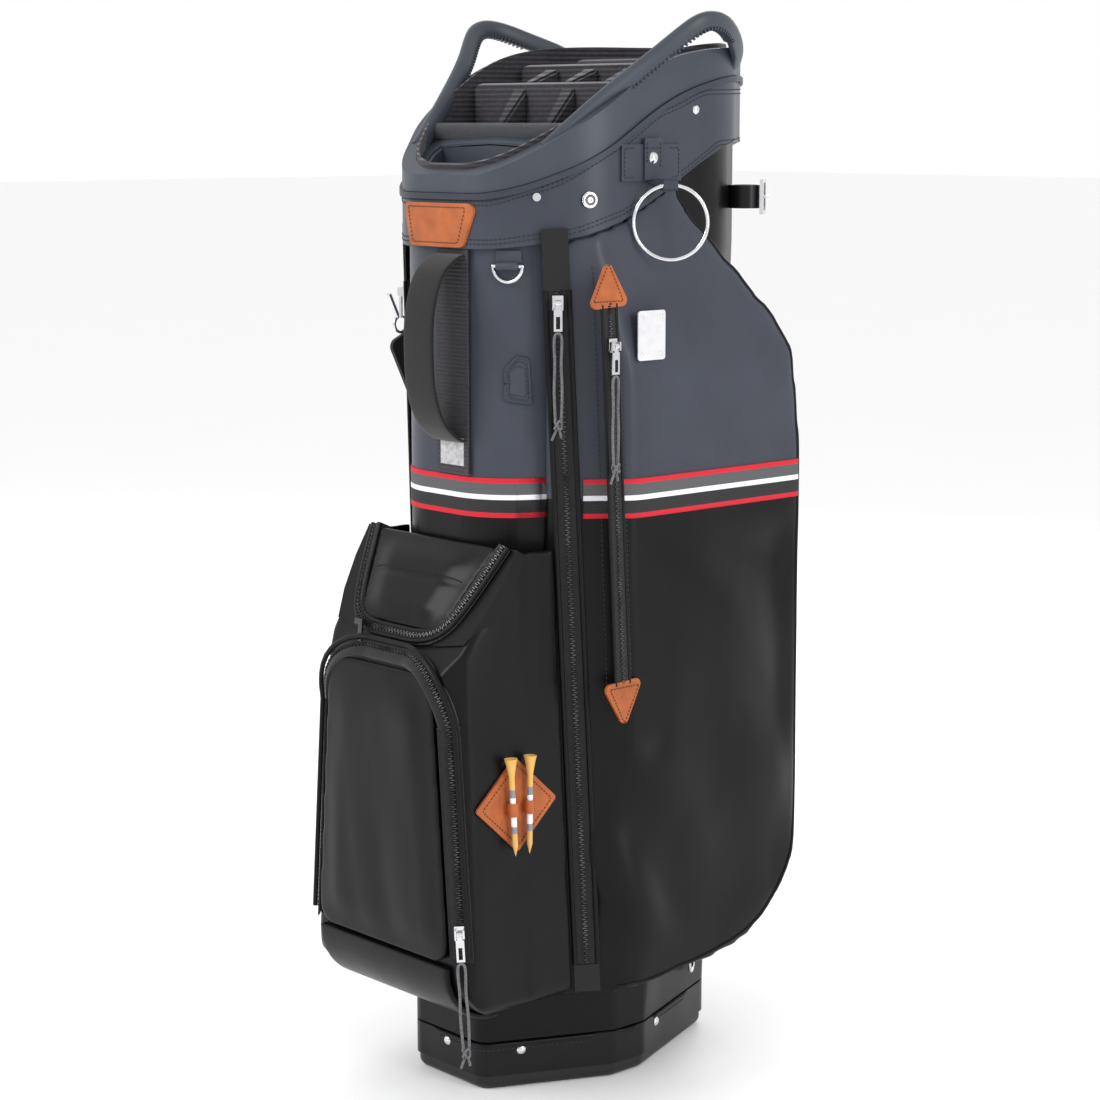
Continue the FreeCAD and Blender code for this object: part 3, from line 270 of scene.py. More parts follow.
PULLS = {
    "right": ("right_pull_hinge", None),
    "valuables": ("valuables_pull_hinge", None),
    "front": ("front_pull_hinge", "front_zip_slide"),
}
for label, (hinge, slide) in PULLS.items():
    pin, down, side, out = pull_axes(hinge, slide)
    route = [pin + down * x / 1000 + side * y / 1000 + out * CORD_LIFT for x, y in CORD_ROUTE]
    cord = cord_spline(label + "_pull_cord", route, CORD_DIAMETER / 2)
    knot = tie_knot(label + "_pull_knot", pin + down * KNOT_BELOW_PIN + out * CORD_LIFT, down, side, out)
    for piece in (cord, knot):
        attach(piece, label + "_pull")
    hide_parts(label + "_zip_cord")


# ---- tube of coated cloth ----
# The tube is polyurethane-coated cloth over four stays: slate grey above the striped webbing
# and black below it and behind, satin, with a fine pebbled grain and slack, shallow waves.

STRIPE_LOW = 0.501
STRIPE_HIGH = 0.534
REAR_IS_BLACK_FROM = 0.022
PEBBLE = 0.0008
GREY = (0.045, 0.050, 0.065)
BLACK = (0.0032, 0.0032, 0.0038)


def add_pebbles(material, size, depth, strength, feature):
    cells = add_node(material, "ShaderNodeTexVoronoi", feature=feature, Scale=1 / size)
    link(material, object_position(material), cells.inputs["Vector"])
    raise_bumps(material, cells.outputs["Distance"], depth, strength)


def axis_of(material, axis):
    parts = add_node(material, "ShaderNodeSeparateXYZ")
    link(material, object_position(material), parts.inputs["Vector"])
    return parts.outputs[axis]


def beyond(material, level, axis="Z"):
    """1 where the place is past a level on one axis, and 0 elsewhere."""
    above = add_node(material, "ShaderNodeMath", operation="GREATER_THAN")
    link(material, axis_of(material, axis), above.inputs[0])
    above.inputs[1].default_value = level
    return above.outputs["Value"]


def mix_colours(material, factor, low, high):
    """Shows a plain colour where the factor is 0 and a textured one where it is 1."""
    mixer = add_node(material, "ShaderNodeMix", data_type="RGBA")
    link(material, factor, mixer.inputs["Factor"])
    mixer.inputs[6].default_value = (*low, 1)
    link(material, high, mixer.inputs[7])
    link(material, mixer.outputs[2], shader_of(material).inputs["Base Color"])


def coated_cloth(name, upper, lower=None, roughness=0.33, gloss=0.17, back=None):
    material = blank_material(name, upper, roughness)
    shader_of(material).inputs["Specular IOR Level"].default_value = gloss
    tint = shade(material, upper, 0.9, 1.12, 14)
    if lower:
        above = beyond(material, (STRIPE_LOW + STRIPE_HIGH) / 2)
        if back:
            front = add_node(material, "ShaderNodeMath", operation="SUBTRACT", use_clamp=True)
            link(material, above, front.inputs[0])
            link(material, beyond(material, back, "Y"), front.inputs[1])
            above = front.outputs["Value"]
        mix_colours(material, above, lower, tint)
    add_pebbles(material, PEBBLE, 0.00010, 0.45, "SMOOTH_F1")
    slack = noise_height(material, 9, 2, object_position(material, (1, 1, 0.55)))
    raise_bumps(material, slack, 0.012, 0.35)
    return material


two_tone = coated_cloth("two_tone_coated_cloth", GREY, BLACK)
tube_cloth = coated_cloth("tube_coated_cloth", GREY, BLACK, back=REAR_IS_BLACK_FROM)
grey_cloth = coated_cloth("grey_coated_cloth", GREY)
black_cloth = coated_cloth("black_coated_cloth", BLACK)


def dress(material, *kept):
    """Gives kept CAD nodes their material."""
    for node in kept:
        nodes[node].data.materials.clear()
        nodes[node].data.materials.append(material)


dress(tube_cloth, "body_front_panel", "body_rear_panel", "body_left_panel", "body_right_panel")


# ---- dividers ----
# Fourteen full-length wells: walls of thin fabric hang from padded cross bars, and tapered
# pads part the wells of each row.  The pads are covered with a ribbed knit, dark plum grey.

KNIT = (0.030, 0.027, 0.034)
LINING = (0.022, 0.020, 0.024)
CROSS_PADS = [  # place along y, half width, level of the top, depth
    (-0.062, 0.081, 0.8165, 0.020), (-0.0146, 0.092, 0.8590, 0.042), (0.040, 0.092, 0.8755, 0.040),
    (0.0949, 0.082, 0.8810, 0.036),
]
PAD_HALF_THICK = 0.006
PAD_ROUNDING = [(0.005, 0.0), (0.0015, 0.0015), (0.0, 0.0045)]  # below the top, and drawn in
FIN_PLACES = [(-0.031, 0.031), (-0.05, 0.0, 0.05), (-0.05, 0.0, 0.05)]
FIN_BACK_HALF = 0.009
FIN_FRONT_HALF = 0.004
FIN_DROP = 0.004
FIN_FOOT = 0.02
FIN_ROUND = 0.0022


def ribbed_knit(name, colour, ribs, direction, depth):
    material = blank_material(name, colour, 0.85)
    shader_of(material).inputs["Sheen Weight"].default_value = 0.25
    shader_of(material).inputs["Specular IOR Level"].default_value = 0.2
    shade(material, colour, 0.75, 1.25, 260)
    raise_bumps(material, add_weave(material, direction, ribs, 0.4), depth, 0.8)
    raise_bumps(material, noise_height(material, 1500, 2), 0.0002, 0.5)
    return material


knit = ribbed_knit("ribbed_knit", KNIT, 75, "Z", 0.0014)
lining = ribbed_knit("divider_lining", LINING, 300, "Z", 0.0002)
dress(lining, "divider_walls", "divider_partitions")
dress(knit, "throat_liner")


def belongs(piece, body):
    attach(piece, body)
    return piece


def new_piece(name, mesh, material):
    data = bpy.data.meshes.new(name)
    bmesh.ops.recalc_face_normals(mesh, faces=mesh.faces)
    mesh.to_mesh(data)
    mesh.free()
    piece = bpy.data.objects.new(name, data)
    bpy.context.scene.collection.objects.link(piece)
    data.materials.append(material)
    take(piece)
    bpy.ops.object.shade_smooth_by_angle(angle=math.radians(40))
    return piece


def skin(rings, looped=False):
    """A closed mesh through rings of spots: capped at its ends, or joined end to end."""
    mesh = bmesh.new()
    rows = [[mesh.verts.new(spot) for spot in ring] for ring in rings]
    for a, b in zip(rows, rows[1:] + rows[:1] if looped else rows[1:]):
        for k in range(len(a)):
            mesh.faces.new((a[k - 1], a[k], b[k], b[k - 1]))
    if not looped:
        mesh.faces.new(rows[0])
        mesh.faces.new(rows[-1])
    bmesh.ops.recalc_face_normals(mesh, faces=mesh.faces)
    return mesh


def bar_ring(y, half, level, drawn_in=0.0):
    reach, thick = half - drawn_in, PAD_HALF_THICK - drawn_in
    corners = [(-reach, y - thick), (reach, y - thick), (reach, y + thick), (-reach, y + thick)]
    return [(a, b, level) for a, b in corners]


def fin(x, front, low, back, top):
    """A tapered pad from one cross pad down to the one in front of it."""
    roof = [(x - FIN_BACK_HALF, back, top), (x + FIN_BACK_HALF, back, top),
            (x + FIN_FRONT_HALF, front, low), (x - FIN_FRONT_HALF, front, low)]
    mesh = skin([[(a, b, low - FIN_FOOT) for a, b, _ in roof], roof])
    bmesh.ops.bevel(mesh, geom=mesh.edges[:], offset=FIN_ROUND, segments=2, affect="EDGES")
    return mesh


pads = []
for k, (y, half, top, deep) in enumerate(CROSS_PADS):
    rings = [bar_ring(y, half, top - deep)]
    rings += [bar_ring(y, half, top - below, drawn_in) for below, drawn_in in PAD_ROUNDING]
    pads.append(new_piece("cross_pad_%d" % k, skin(rings), knit))
for k, places in enumerate(FIN_PLACES, 1):
    ahead_y, _, ahead_top, _ = CROSS_PADS[k - 1]
    y, _, top, _ = CROSS_PADS[k]
    for x in places:
        mesh = fin(x, ahead_y + 0.0075, ahead_top - FIN_DROP, y - 0.0065, top - FIN_DROP)
        pads.append(new_piece("fin_pad_%d_%d" % (k, round(x * 1000) + 60), mesh, knit))
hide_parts("divider_pads")
for piece in pads:
    belongs(piece, "bag")


# ---- moulded top ----
# The rim, the putter well with its deck and the two carry handles are one grey moulding;
# each handle flares outward and has grip ribs on its underside.  A roll of mesh cloth, sewn
# over foam, closes the deck's rear edge.

GREY_PLASTIC = (0.040, 0.048, 0.062)
BLACK_PLASTIC = (0.009, 0.009, 0.010)
MESH_GREY = (0.034, 0.036, 0.044)
HANDLE_ROUTE = [
    (82.1, -93.1, 803), (100.4, -47.2, 843.7), (119.9, -9.6, 875.8), (134.5, 9.8, 895.5), (141.2, 21, 904.9),
    (143, 34, 909), (141, 52, 907), (128.7, 76.4, 897), (109.5, 100.6, 885), (98, 108, 875),
]
GRIP_FIRST = 22
GRIP_LAST = 14
GRIP_BELOW = 0.0068
GRIP_HALF = 0.0008
DECK_OUTER = [
    (0.0, -0.136), (0.030, -0.136), (0.050, -0.131), (0.066, -0.113), (0.080, -0.092), (0.090, -0.071),
    (0.045, -0.0705), (0.0, -0.0705),
]
DECK_INNER = [
    (0.0, -0.127), (0.026, -0.127), (0.041, -0.121), (0.052, -0.108), (0.062, -0.094), (0.066, -0.082),
    (0.040, -0.081), (0.0, -0.081),
]
DECK_FRONT = -0.136
DECK_LEVEL = 0.7835
DECK_SLOPE = 0.47
DECK_CROWN = 0.004
DECK_HALF = 0.09
DECK_THICK = 0.003
WELL_DEPTH = 0.060
WELL_FLOOR = 0.740
ROLL_Y = -0.0665
ROLL_LEVEL = 0.8175
ROLL_HALF = 0.088


def moulded(name, colour):
    material = blank_material(name, colour, 0.42)
    shader_of(material).inputs["Specular IOR Level"].default_value = 0.35
    shade(material, colour, 0.93, 1.07, 30)
    raise_bumps(material, noise_height(material, 2600, 1), 0.00006, 0.6)
    return material


grey_plastic = moulded("grey_moulded_plastic", GREY_PLASTIC)
black_plastic = moulded("black_moulded_plastic", BLACK_PLASTIC)
dress(grey_plastic, "top_rim", "putter_well")


def even(points, step):
    """The same polyline, with points at even steps."""
    points = points[:1] + [b for a, b in zip(points, points[1:]) if (b - a).length > 1e-6]
    spans = [(b - a).length for a, b in zip(points, points[1:])]
    total = sum(spans)
    count = max(2, round(total / step))
    found, run, k = [], 0.0, 0
    for mark in (total * n / count for n in range(count + 1)):
        while k < len(spans) - 1 and run + spans[k] < mark:
            run += spans[k]
            k += 1
        found.append(points[k].lerp(points[k + 1], min(1.0, (mark - run) / spans[k])))
    return found


def rounded(points, times=3):
    """The same line with its corners cut again and again."""
    for _ in range(times):
        line = [points[0]]
        for a, b in zip(points, points[1:]):
            line += [a.lerp(b, 0.25), a.lerp(b, 0.75)]
        points = line + [points[-1]]
    return points


def mirrored(points):
    return [Vector((-p.x, p.y, p.z)) for p in points]


def heading(spots, k, closed=False):
    """The direction of a line at one of its spots."""
    if closed:
        return (spots[(k + 1) % len(spots)] - spots[k - 1]).normalized()
    return (spots[min(k + 1, len(spots) - 1)] - spots[max(k - 1, 0)]).normalized()


def sweep_into(mesh, spots, outs, profile, closed=False):
    """Draws a profile, given as pairs of across and out, along a line of spots."""
    rows = []
    for k, spot in enumerate(spots):
        ahead = heading(spots, k, closed)
        side = ahead.cross(outs[k]).normalized()
        out = side.cross(ahead)
        rows.append([mesh.verts.new(spot + side * a + out * h) for a, h in profile])
    sides = len(profile)
    for row, following in zip(rows, rows[1:] + rows[:1] if closed else rows[1:]):
        for j in range(sides):
            n = (j + 1) % sides
            mesh.faces.new((row[j], row[n], following[n], following[j]))
    if not closed:
        mesh.faces.new(rows[0][::-1])
        mesh.faces.new(rows[-1])


def sweep(name, spots, outs, profile, material, closed=False):
    mesh = bmesh.new()
    sweep_into(mesh, spots, outs, profile, closed)
    return new_piece(name, mesh, material)


def oval(wide, high, power=2.6, count=16):
    """A rounded cross section, fuller than an ellipse."""
    ring = []
    for k in range(count):
        angle = math.tau * k / count
        a, h = math.cos(angle), math.sin(angle)
        ring.append((math.copysign(wide / 2 * abs(a) ** (2 / power), a),
                     math.copysign(high / 2 * abs(h) ** (2 / power), h)))
    return ring


def smooth_step(low, high, value):
    share = min(1.0, max(0.0, (value - low) / (high - low)))
    return share * share * (3 - 2 * share)


def deck_line(half):
    """An outline on the sloping, slightly crowned deck, from its right half."""
    spots = []
    for x, y in half + [(-x, y) for x, y in half[-2:0:-1]]:
        level = DECK_LEVEL + (y - DECK_FRONT) * DECK_SLOPE
        spots.append(Vector((x, y, level - DECK_CROWN * smooth_step(0.0, 1.0, abs(x) / DECK_HALF))))
    return spots


def wall_between(name, outer, inner, thick):
    down = Vector((0, 0, -thick))
    rings = [outer, inner, [p + down for p in inner], [p + down for p in outer]]
    return belongs(new_piece(name, skin(rings, looped=True), grey_plastic), "bag")


mouth = deck_line(DECK_INNER)
wall_between("putter_well_deck", deck_line(DECK_OUTER), mouth, DECK_THICK)
wall = [p - Vector((0, 0, 0.002)) for p in mouth]
wall_between("putter_well_wall", wall, [Vector((p.x * 0.96, p.y * 0.985, p.z)) for p in wall], WELL_DEPTH)
mesh = bmesh.new()
mesh.faces.new([mesh.verts.new((p.x, p.y, WELL_FLOOR)) for p in wall])
well_floor = new_piece("putter_well_floor", mesh, grey_plastic)
belongs(use_modifier(well_floor, "SOLIDIFY", thickness=0.002), "bag")

mesh_cloth = ribbed_knit("spacer_mesh", MESH_GREY, 260, "X", 0.0006)
roll = even([Vector((x, ROLL_Y, ROLL_LEVEL)) for x in (-ROLL_HALF, ROLL_HALF)], 0.01)
mesh_roll = sweep("mesh_roll", roll, [Vector((0, 0, 1))] * len(roll), oval(0.014, 0.015, 2.4, 14), mesh_cloth)
belongs(mesh_roll, "bag")

right_route = even(rounded([Vector(p) / 1000 for p in HANDLE_ROUTE]), 0.004)
for side_name, line, outward in (("right", right_route, 1), ("left", mirrored(right_route), -1)):
    out = Vector((outward, 0, 0))
    handle = sweep("carry_handle_" + side_name, line, [out] * len(line), oval(0.0155, 0.0100), grey_plastic)
    ribs = bmesh.new()
    for k in range(GRIP_FIRST, len(line) - GRIP_LAST):
        ahead = heading(line, k)
        rise = ahead.cross(out).normalized()
        middle = line[k] - rise * math.copysign(GRIP_BELOW, rise.z)
        sweep_into(ribs, [middle - ahead * GRIP_HALF, middle + ahead * GRIP_HALF], [rise, rise],
                   oval(0.0112, 0.0038, 3, 8))
    grip = new_piece("grip_ribs_" + side_name, ribs, grey_plastic)
    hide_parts("top_handle_" + side_name)
    for piece in (handle, grip):
        belongs(piece, "bag")


# ---- side pockets ----
# Each side pocket is a full-height bag of coated cloth.  It stands out from the tube, swells
# between its seams, and hangs in soft slanting folds below the striped webbing.

ZIP_TOP = Vector((0.096, -0.0931, 0.690))
ZIP_FOOT = Vector((0.107, -0.0694, 0.116))
SMALL_ZIP_TOP = Vector((0.135, -0.07295, 0.680))
SMALL_ZIP_FOOT = Vector((0.135, -0.0561, 0.362))
TAB_REACH = 0.035
POCKET_VOXEL = 0.0055
POCKET_CAP = 0.007
SWELL_FRAMES = 20
CLOTH = {
    "quality": 4, "mass": 0.4, "tension_stiffness": 25, "compression_stiffness": 12, "shear_stiffness": 6,
    "bending_stiffness": 0.3, "use_pressure": True, "vertex_group_mass": "held",
}


def welded(node):
    mesh = bmesh.new()
    mesh.from_mesh(nodes[node].data)
    bmesh.ops.remove_doubles(mesh, verts=mesh.verts, dist=0.00002)
    return mesh


def remesh(piece, voxel):
    return use_modifier(piece, "REMESH", mode="VOXEL", voxel_size=voxel)


def cloth_copy(node, name, voxel):
    """A CAD node's shape as an even, closed skin of black cloth."""
    return remesh(new_piece(name, welded(node), black_cloth), voxel)


def swell(piece, held, pressure, cap):
    """Blows a closed cloth up a little, where it isn't held, and keeps the result."""
    rest = [v.co.copy() for v in piece.data.vertices]
    group = piece.vertex_groups.new(name="held")
    for k, co in enumerate(rest):
        if held(co) > 0:
            group.add([k], held(co), "REPLACE")
    cloth = piece.modifiers.new("Cloth", "CLOTH")
    for key, value in CLOTH.items():
        setattr(cloth.settings, key, value)
    cloth.settings.uniform_pressure_force = pressure
    cloth.settings.effector_weights.gravity = 0
    cloth.point_cache.frame_start = 1
    cloth.point_cache.frame_end = SWELL_FRAMES
    for moment in range(1, SWELL_FRAMES + 1):
        bpy.context.scene.frame_set(moment)
    posed = piece.evaluated_get(bpy.context.evaluated_depsgraph_get()).to_mesh()
    moved = [v.co.copy() for v in posed.vertices]
    piece.modifiers.remove(cloth)
    bpy.context.scene.frame_set(1)
    for vertex, old, new in zip(piece.data.vertices, rest, moved):
        step = new - old
        vertex.co = old + step * min(1.0, cap / max(step.length, 1e-9))
    piece.vertex_groups.clear()


def press(piece, rule):
    """Moves each vertex along its normal by what the rule says."""
    normals = [v.normal.copy() for v in piece.data.vertices]
    for vertex, normal in zip(piece.data.vertices, normals):
        vertex.co = vertex.co + normal * rule(vertex.co, normal)
    piece.data.update()


def smooth_faces(piece):
    take(piece)
    bpy.ops.object.shade_smooth()


def soften(piece, levels=1):
    use_modifier(piece, "SMOOTH", factor=0.5, iterations=3)
    if levels:
        use_modifier(piece, "SUBSURF", levels=levels, render_levels=levels)
    smooth_faces(piece)


def upholster(piece, body, fill, *replaced):
    """Hides the CAD parts that a piece of the shell replaces, and attaches the piece to its body."""
    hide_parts(*replaced)
    belongs(piece, body)


def from_line(co, start, end):
    """How far a point is from a straight line, level by level."""
    share = min(1.0, max(0.0, (start.z - co.z) / (start.z - end.z)))
    return (Vector((co.x, co.y, 0)) - start.lerp(end, share) * Vector((1, 1, 0))).length


def from_small_zip(co):
    """How far a point is from the small zip and its leather tabs."""
    below = max(0.0, SMALL_ZIP_FOOT.z - TAB_REACH - co.z)
    return Vector((from_line(co, SMALL_ZIP_TOP, SMALL_ZIP_FOOT), below)).length


def pocket_hold(co):
    at_tube = co.x < 0.112 and co.y > -0.05
    at_webbing = STRIPE_LOW - 0.004 < co.z < STRIPE_HIGH + 0.004
    at_end = co.z > 0.66 or co.z < 0.10
    at_zip = from_line(co, ZIP_TOP, ZIP_FOOT) < 0.02 or from_small_zip(co) < 0.024
    at_plate = abs(co.y + 0.024) < 0.02 and co.z > 0.62
    if at_tube or at_webbing or at_end or at_zip:
        return 1.0
    if co.y > 0.150:
        return 0.6
    return 1.0 if at_plate else 0.0


def pocket_folds(co, normal):
    """Slanting folds low on the pocket's face, and a shallow slackness above them."""
    if normal.x < 0.2 or co.x < 0.11:
        return 0.0
    free = smooth_step(0.02, 0.06, from_small_zip(co)) * smooth_step(0.165, 0.13, co.y)
    low = smooth_step(0.498, 0.45, co.z) * smooth_step(0.105, 0.17, co.z)
    high = smooth_step(0.54, 0.57, co.z) * smooth_step(0.64, 0.60, co.z)
    across = co.y * 0.80 + co.z * 0.60 + 0.015 * math.sin(co.y * 14 + co.z * 5)
    ridge = math.sin(across * 46) * noise.noise(Vector((co.y * 9, co.z * 6, 3.1)))
    fold = noise.noise(Vector(((co.y * 0.6 - co.z * 0.8) * 6, across * 17, 8.4)))
    return free * (low * (0.0060 * ridge + 0.0100 * fold) + high * 0.0022 * fold)


right_pocket = cloth_copy("right_pocket", "right_side_pocket", POCKET_VOXEL)
soften(right_pocket, 0)
swell(right_pocket, pocket_hold, 4.0, POCKET_CAP)
press(right_pocket, pocket_folds)
soften(right_pocket)
right_pocket.data.materials[0] = two_tone

mesh = bmesh.new()
mesh.from_mesh(right_pocket.data)
bmesh.ops.scale(mesh, vec=(-1, 1, 1), verts=mesh.verts)
bmesh.ops.reverse_faces(mesh, faces=mesh.faces)
left_pocket = new_piece("left_side_pocket", mesh, two_tone)
smooth_faces(left_pocket)
upholster(right_pocket, "bag", 0.5, "right_pocket")
upholster(left_pocket, "bag", 0.5, "left_pocket")


# ---- seams ----
# Seams are closed with a thin piping of black leathercloth and lines of thread stitches.

STITCH_PITCH = 0.0042
STITCH_SPAN = (0.2, 0.76)
HEM_X = 0.134
POCKET_HEM = [
    (-0.055, 0.092), (0.0, 0.097), (0.06, 0.104), (0.11, 0.118), (0.14, 0.14), (0.158, 0.175), (0.165, 0.22),
    (0.164, 0.32), (0.161, 0.45), (0.157, 0.56), (0.15, 0.64), (0.115, 0.69), (0.075, 0.73), (0.05, 0.765),
]
SMALL_ZIP_SEAM = 0.0135


def thread(name, colour):
    material = blank_material(name, colour, 0.7)
    shade(material, colour, 0.7, 1.3, 700)
    raise_bumps(material, noise_height(material, 3000, 1), 0.0001)
    return material


black_thread = thread("black_thread", (0.014, 0.015, 0.019))
brown_thread = thread("brown_thread", (0.09, 0.018, 0.006))
piping_cloth = coated_cloth("piping_cloth", (0.004, 0.004, 0.0045), roughness=0.42)
grey_piping = coated_cloth("grey_piping_cloth", (0.038, 0.044, 0.058), roughness=0.42)


def lay_on(target, points, lift=0.0):
    """Where points fall on a piece's surface, lifted off it, and which way it faces there."""
    spots, outs = [], []
    for point in points:
        _, place, normal, _ = target.closest_point_on_mesh(point)
        spots.append(place + normal * lift)
        outs.append(normal.copy())
    return spots, outs


def stitch_rows(name, rows, target, material, pitch=STITCH_PITCH, lift=0.0002, width=0.0009):
    """Thread stitches along lines on a surface, each a low rounded bar."""
    mesh = bmesh.new()
    for row in rows:
        spots, outs = lay_on(target, even(row, pitch), lift)
        for spot, following, out in zip(spots, spots[1:], outs):
            if not 0.2 * pitch <= (following - spot).length <= 2.2 * pitch:
                continue
            start, end = (spot.lerp(following, share) for share in STITCH_SPAN)
            crest = start.lerp(end, 0.5) + out * width * 0.25
            sweep_into(mesh, [start, crest, end], [out] * 3, oval(width, width * 0.7, 2, 6))
    return belongs(new_piece(name, mesh, material), "bag")


def piping(name, line, target, radius, body="bag"):
    spots, outs = lay_on(target, even(line, 0.004))
    cord = sweep(name, spots, outs, oval(2 * radius, 2 * radius, 2, 10), piping_cloth)
    return belongs(cord, body)


hem = rounded([Vector((HEM_X, y, z)) for y, z in POCKET_HEM], 2)
piping("pocket_piping_right", hem, right_pocket, 0.0016)
piping("pocket_piping_left", mirrored(hem), left_pocket, 0.0016)
for offset in (-SMALL_ZIP_SEAM, SMALL_ZIP_SEAM):
    row = [SMALL_ZIP_TOP + Vector((0, offset, 0.03)), SMALL_ZIP_FOOT + Vector((0, offset, -0.02))]
    stitch_rows("small_zip_stitches_%d" % (offset > 0), [row], right_pocket, black_thread)


# ---- zips ----
# Coil zips: woven tapes, teeth of dark metal, and a lip of piped cloth on each side.

TOOTH_PITCH = 0.0020
TOOTH_REACH = 0.0019
SIDE_ZIP_FACING = Vector((0.78, -0.62, 0)).normalized()
zip_cloth = ribbed_knit("zip_tape_weave", (0.010, 0.010, 0.011), 500, "Z", 0.0002)
tooth_metal = blank_material("dark_zip_teeth", (0.03, 0.03, 0.032), 0.34, 0.8)
vary_colour(tooth_metal, (0.012, 0.012, 0.013), (0.11, 0.11, 0.12), 45)
raise_bumps(tooth_metal, noise_height(tooth_metal, 900), 0.0001)
dress(zip_cloth, "zip_tapes")


def teeth_along(name, spots, outs):
    mesh = bmesh.new()
    for k in range(len(spots) - 1):
        ahead = spots[k + 1] - spots[k]
        side = ahead.cross(outs[k]).normalized() * (TOOTH_REACH if k % 2 else -TOOTH_REACH)
        middle = spots[k] + side * 0.35
        sweep_into(mesh, [middle - side * 0.75, middle + side * 0.75], [outs[k], outs[k]],
                   oval(TOOTH_PITCH * 0.62, 0.0016, 3, 8))
    return belongs(new_piece(name, mesh, tooth_metal), "bag")


def lip_along(name, spots, outs, wide, high, sides=10):
    lip = sweep(name, spots, outs, oval(wide, high, 2.2, sides), piping_cloth)
    return belongs(lip, "bag")


def straight_zip(name, start, end, facing, lips, lip_radius, sign):
    """Teeth and lips along a straight zip, on the right side or mirrored to the left."""
    place = Vector((sign, 1, 1))
    out = (facing * place).normalized()
    side_name = "right" if sign > 0 else "left"
    row = [p * place + out * 0.0024 for p in even([start, end], TOOTH_PITCH)]
    teeth_along("%s_teeth_%s" % (name, side_name), row, [out] * len(row))
    across = (end - start).cross(facing).normalized()
    for edge in (-1, 1):
        rail = [(p + across * lips * edge) * place + out * 0.0018 for p in even([start, end], 0.02)]
        lip_along("%s_lip_%s_%d" % (name, side_name, edge > 0), rail, [out] * len(rail), 2.6 * lip_radius,
                  1.9 * lip_radius, 12)


def curved_zip(name, tape_name, line_at, outs_of, tape, middle, lips, teeth_lift, lip_size):
    """A zip along a curve: a thick tape, its teeth and two lips at their own offsets."""
    spots = even(line_at(middle), 0.005)
    belongs(sweep(tape_name, spots, outs_of(spots), tape, zip_cloth), "bag")
    row = even(line_at(middle), TOOTH_PITCH)
    outs = outs_of(row)
    teeth_along(name + "_teeth", [p + out * teeth_lift for p, out in zip(row, outs)], outs)
    for k, offset in enumerate(lips):
        rail = even(line_at(offset), 0.005)
        lip_along("%s_lip_%d" % (name, k), rail, outs_of(rail), *lip_size)


straight_zip("side_zip", ZIP_TOP, ZIP_FOOT, SIDE_ZIP_FACING, 0.0098, 0.0017, 1)
straight_zip("side_zip", ZIP_TOP, ZIP_FOOT, SIDE_ZIP_FACING, 0.0098, 0.0017, -1)
straight_zip("small_zip", SMALL_ZIP_TOP, SMALL_ZIP_FOOT, Vector((1, 0, 0)), 0.0078, 0.0012, 1)


# ---- front pocket ----
# The front pocket is a padded box of black coated cloth with a drop-down door; its corners
# are slanted, and a coil zip runs up one corner, round the door's top and down the other.

TEE_PLACE = Vector((-0.144, 0.268))
DOOR_LOW = 0.138
DOOR_SILL = 0.139
DOOR_HIGH = 0.380
DOOR_HALF_LOW = 0.088
DOOR_TAPER = 0.020
DOOR_CORNER = 0.044
CORNER_X = 0.0276
CORNER_Z = 0.336
DOOR_ZIP_Y = -0.1985
DOOR_TAPE = [
    (-0.0088, -0.010), (0.0088, -0.010), (0.0088, -0.0004), (0.0070, 0.0010), (-0.0070, 0.0010),
    (-0.0088, -0.0004),
]


def shell_folds(co, normal):
    """Upright folds on the pocket's sides, clear of the tee holder."""
    free = smooth_step(-0.125, -0.135, co.y) * smooth_step(-0.19, -0.178, co.y)
    clear = smooth_step(0.045, 0.075, (Vector((co.y, co.z)) - TEE_PLACE).length)
    return abs(normal.x) * free * clear * 0.0022 * noise.noise(Vector((co.y * 22, co.z * 7, 1.7)))


front_shell = new_piece("front_pocket_body", welded("front_pocket_shell"), black_cloth)
upper_body = new_piece("lid_pocket_body", welded("lid_pocket_tray"), black_cloth)
deselect()
upper_body.select_set(True)
front_shell.select_set(True)
bpy.context.view_layer.objects.active = front_shell
bpy.ops.object.join()
remesh(front_shell, 0.0027)
soften(front_shell, 0)
press(front_shell, shell_folds)
smooth_faces(front_shell)
upholster(front_shell, "bag", 0.5, "front_pocket_shell", "lid_pocket_tray")


def door_half(level):
    return DOOR_HALF_LOW - (level - DOOR_LOW) / (DOOR_HIGH - DOOR_LOW) * DOOR_TAPER


def door_hold(co):
    edge = min(co.z - DOOR_SILL, DOOR_HIGH - co.z, door_half(co.z) - abs(co.x))
    return 1.0 if edge < 0.008 else 0.0


def door_folds(co, normal):
    """A shallow crown with soft upright folds on the door's face."""
    if normal.y > -0.3:
        return 0.0
    inside = smooth_step(0.0, 0.03, door_half(co.z) - abs(co.x))
    inside *= smooth_step(0.378, 0.33, co.z) * smooth_step(DOOR_SILL, 0.17, co.z)
    wave = noise.noise(Vector((co.x * 26 + co.z * 4, co.z * 5, 5.2)))
    return inside * (0.0018 + 0.0024 * wave)


door = cloth_copy("front_pocket_door", "front_pocket_door_panel", 0.0028)
swell(door, door_hold, 3.0, 0.004)
press(door, door_folds)
soften(door)
upholster(door, "front_door", 0.4, "front_pocket_door")

boot = cloth_copy("front_pocket_skirt", "front_pocket_boot", 0.0026)
soften(boot)
upholster(boot, "bag", 0.4, "front_pocket_skirt")


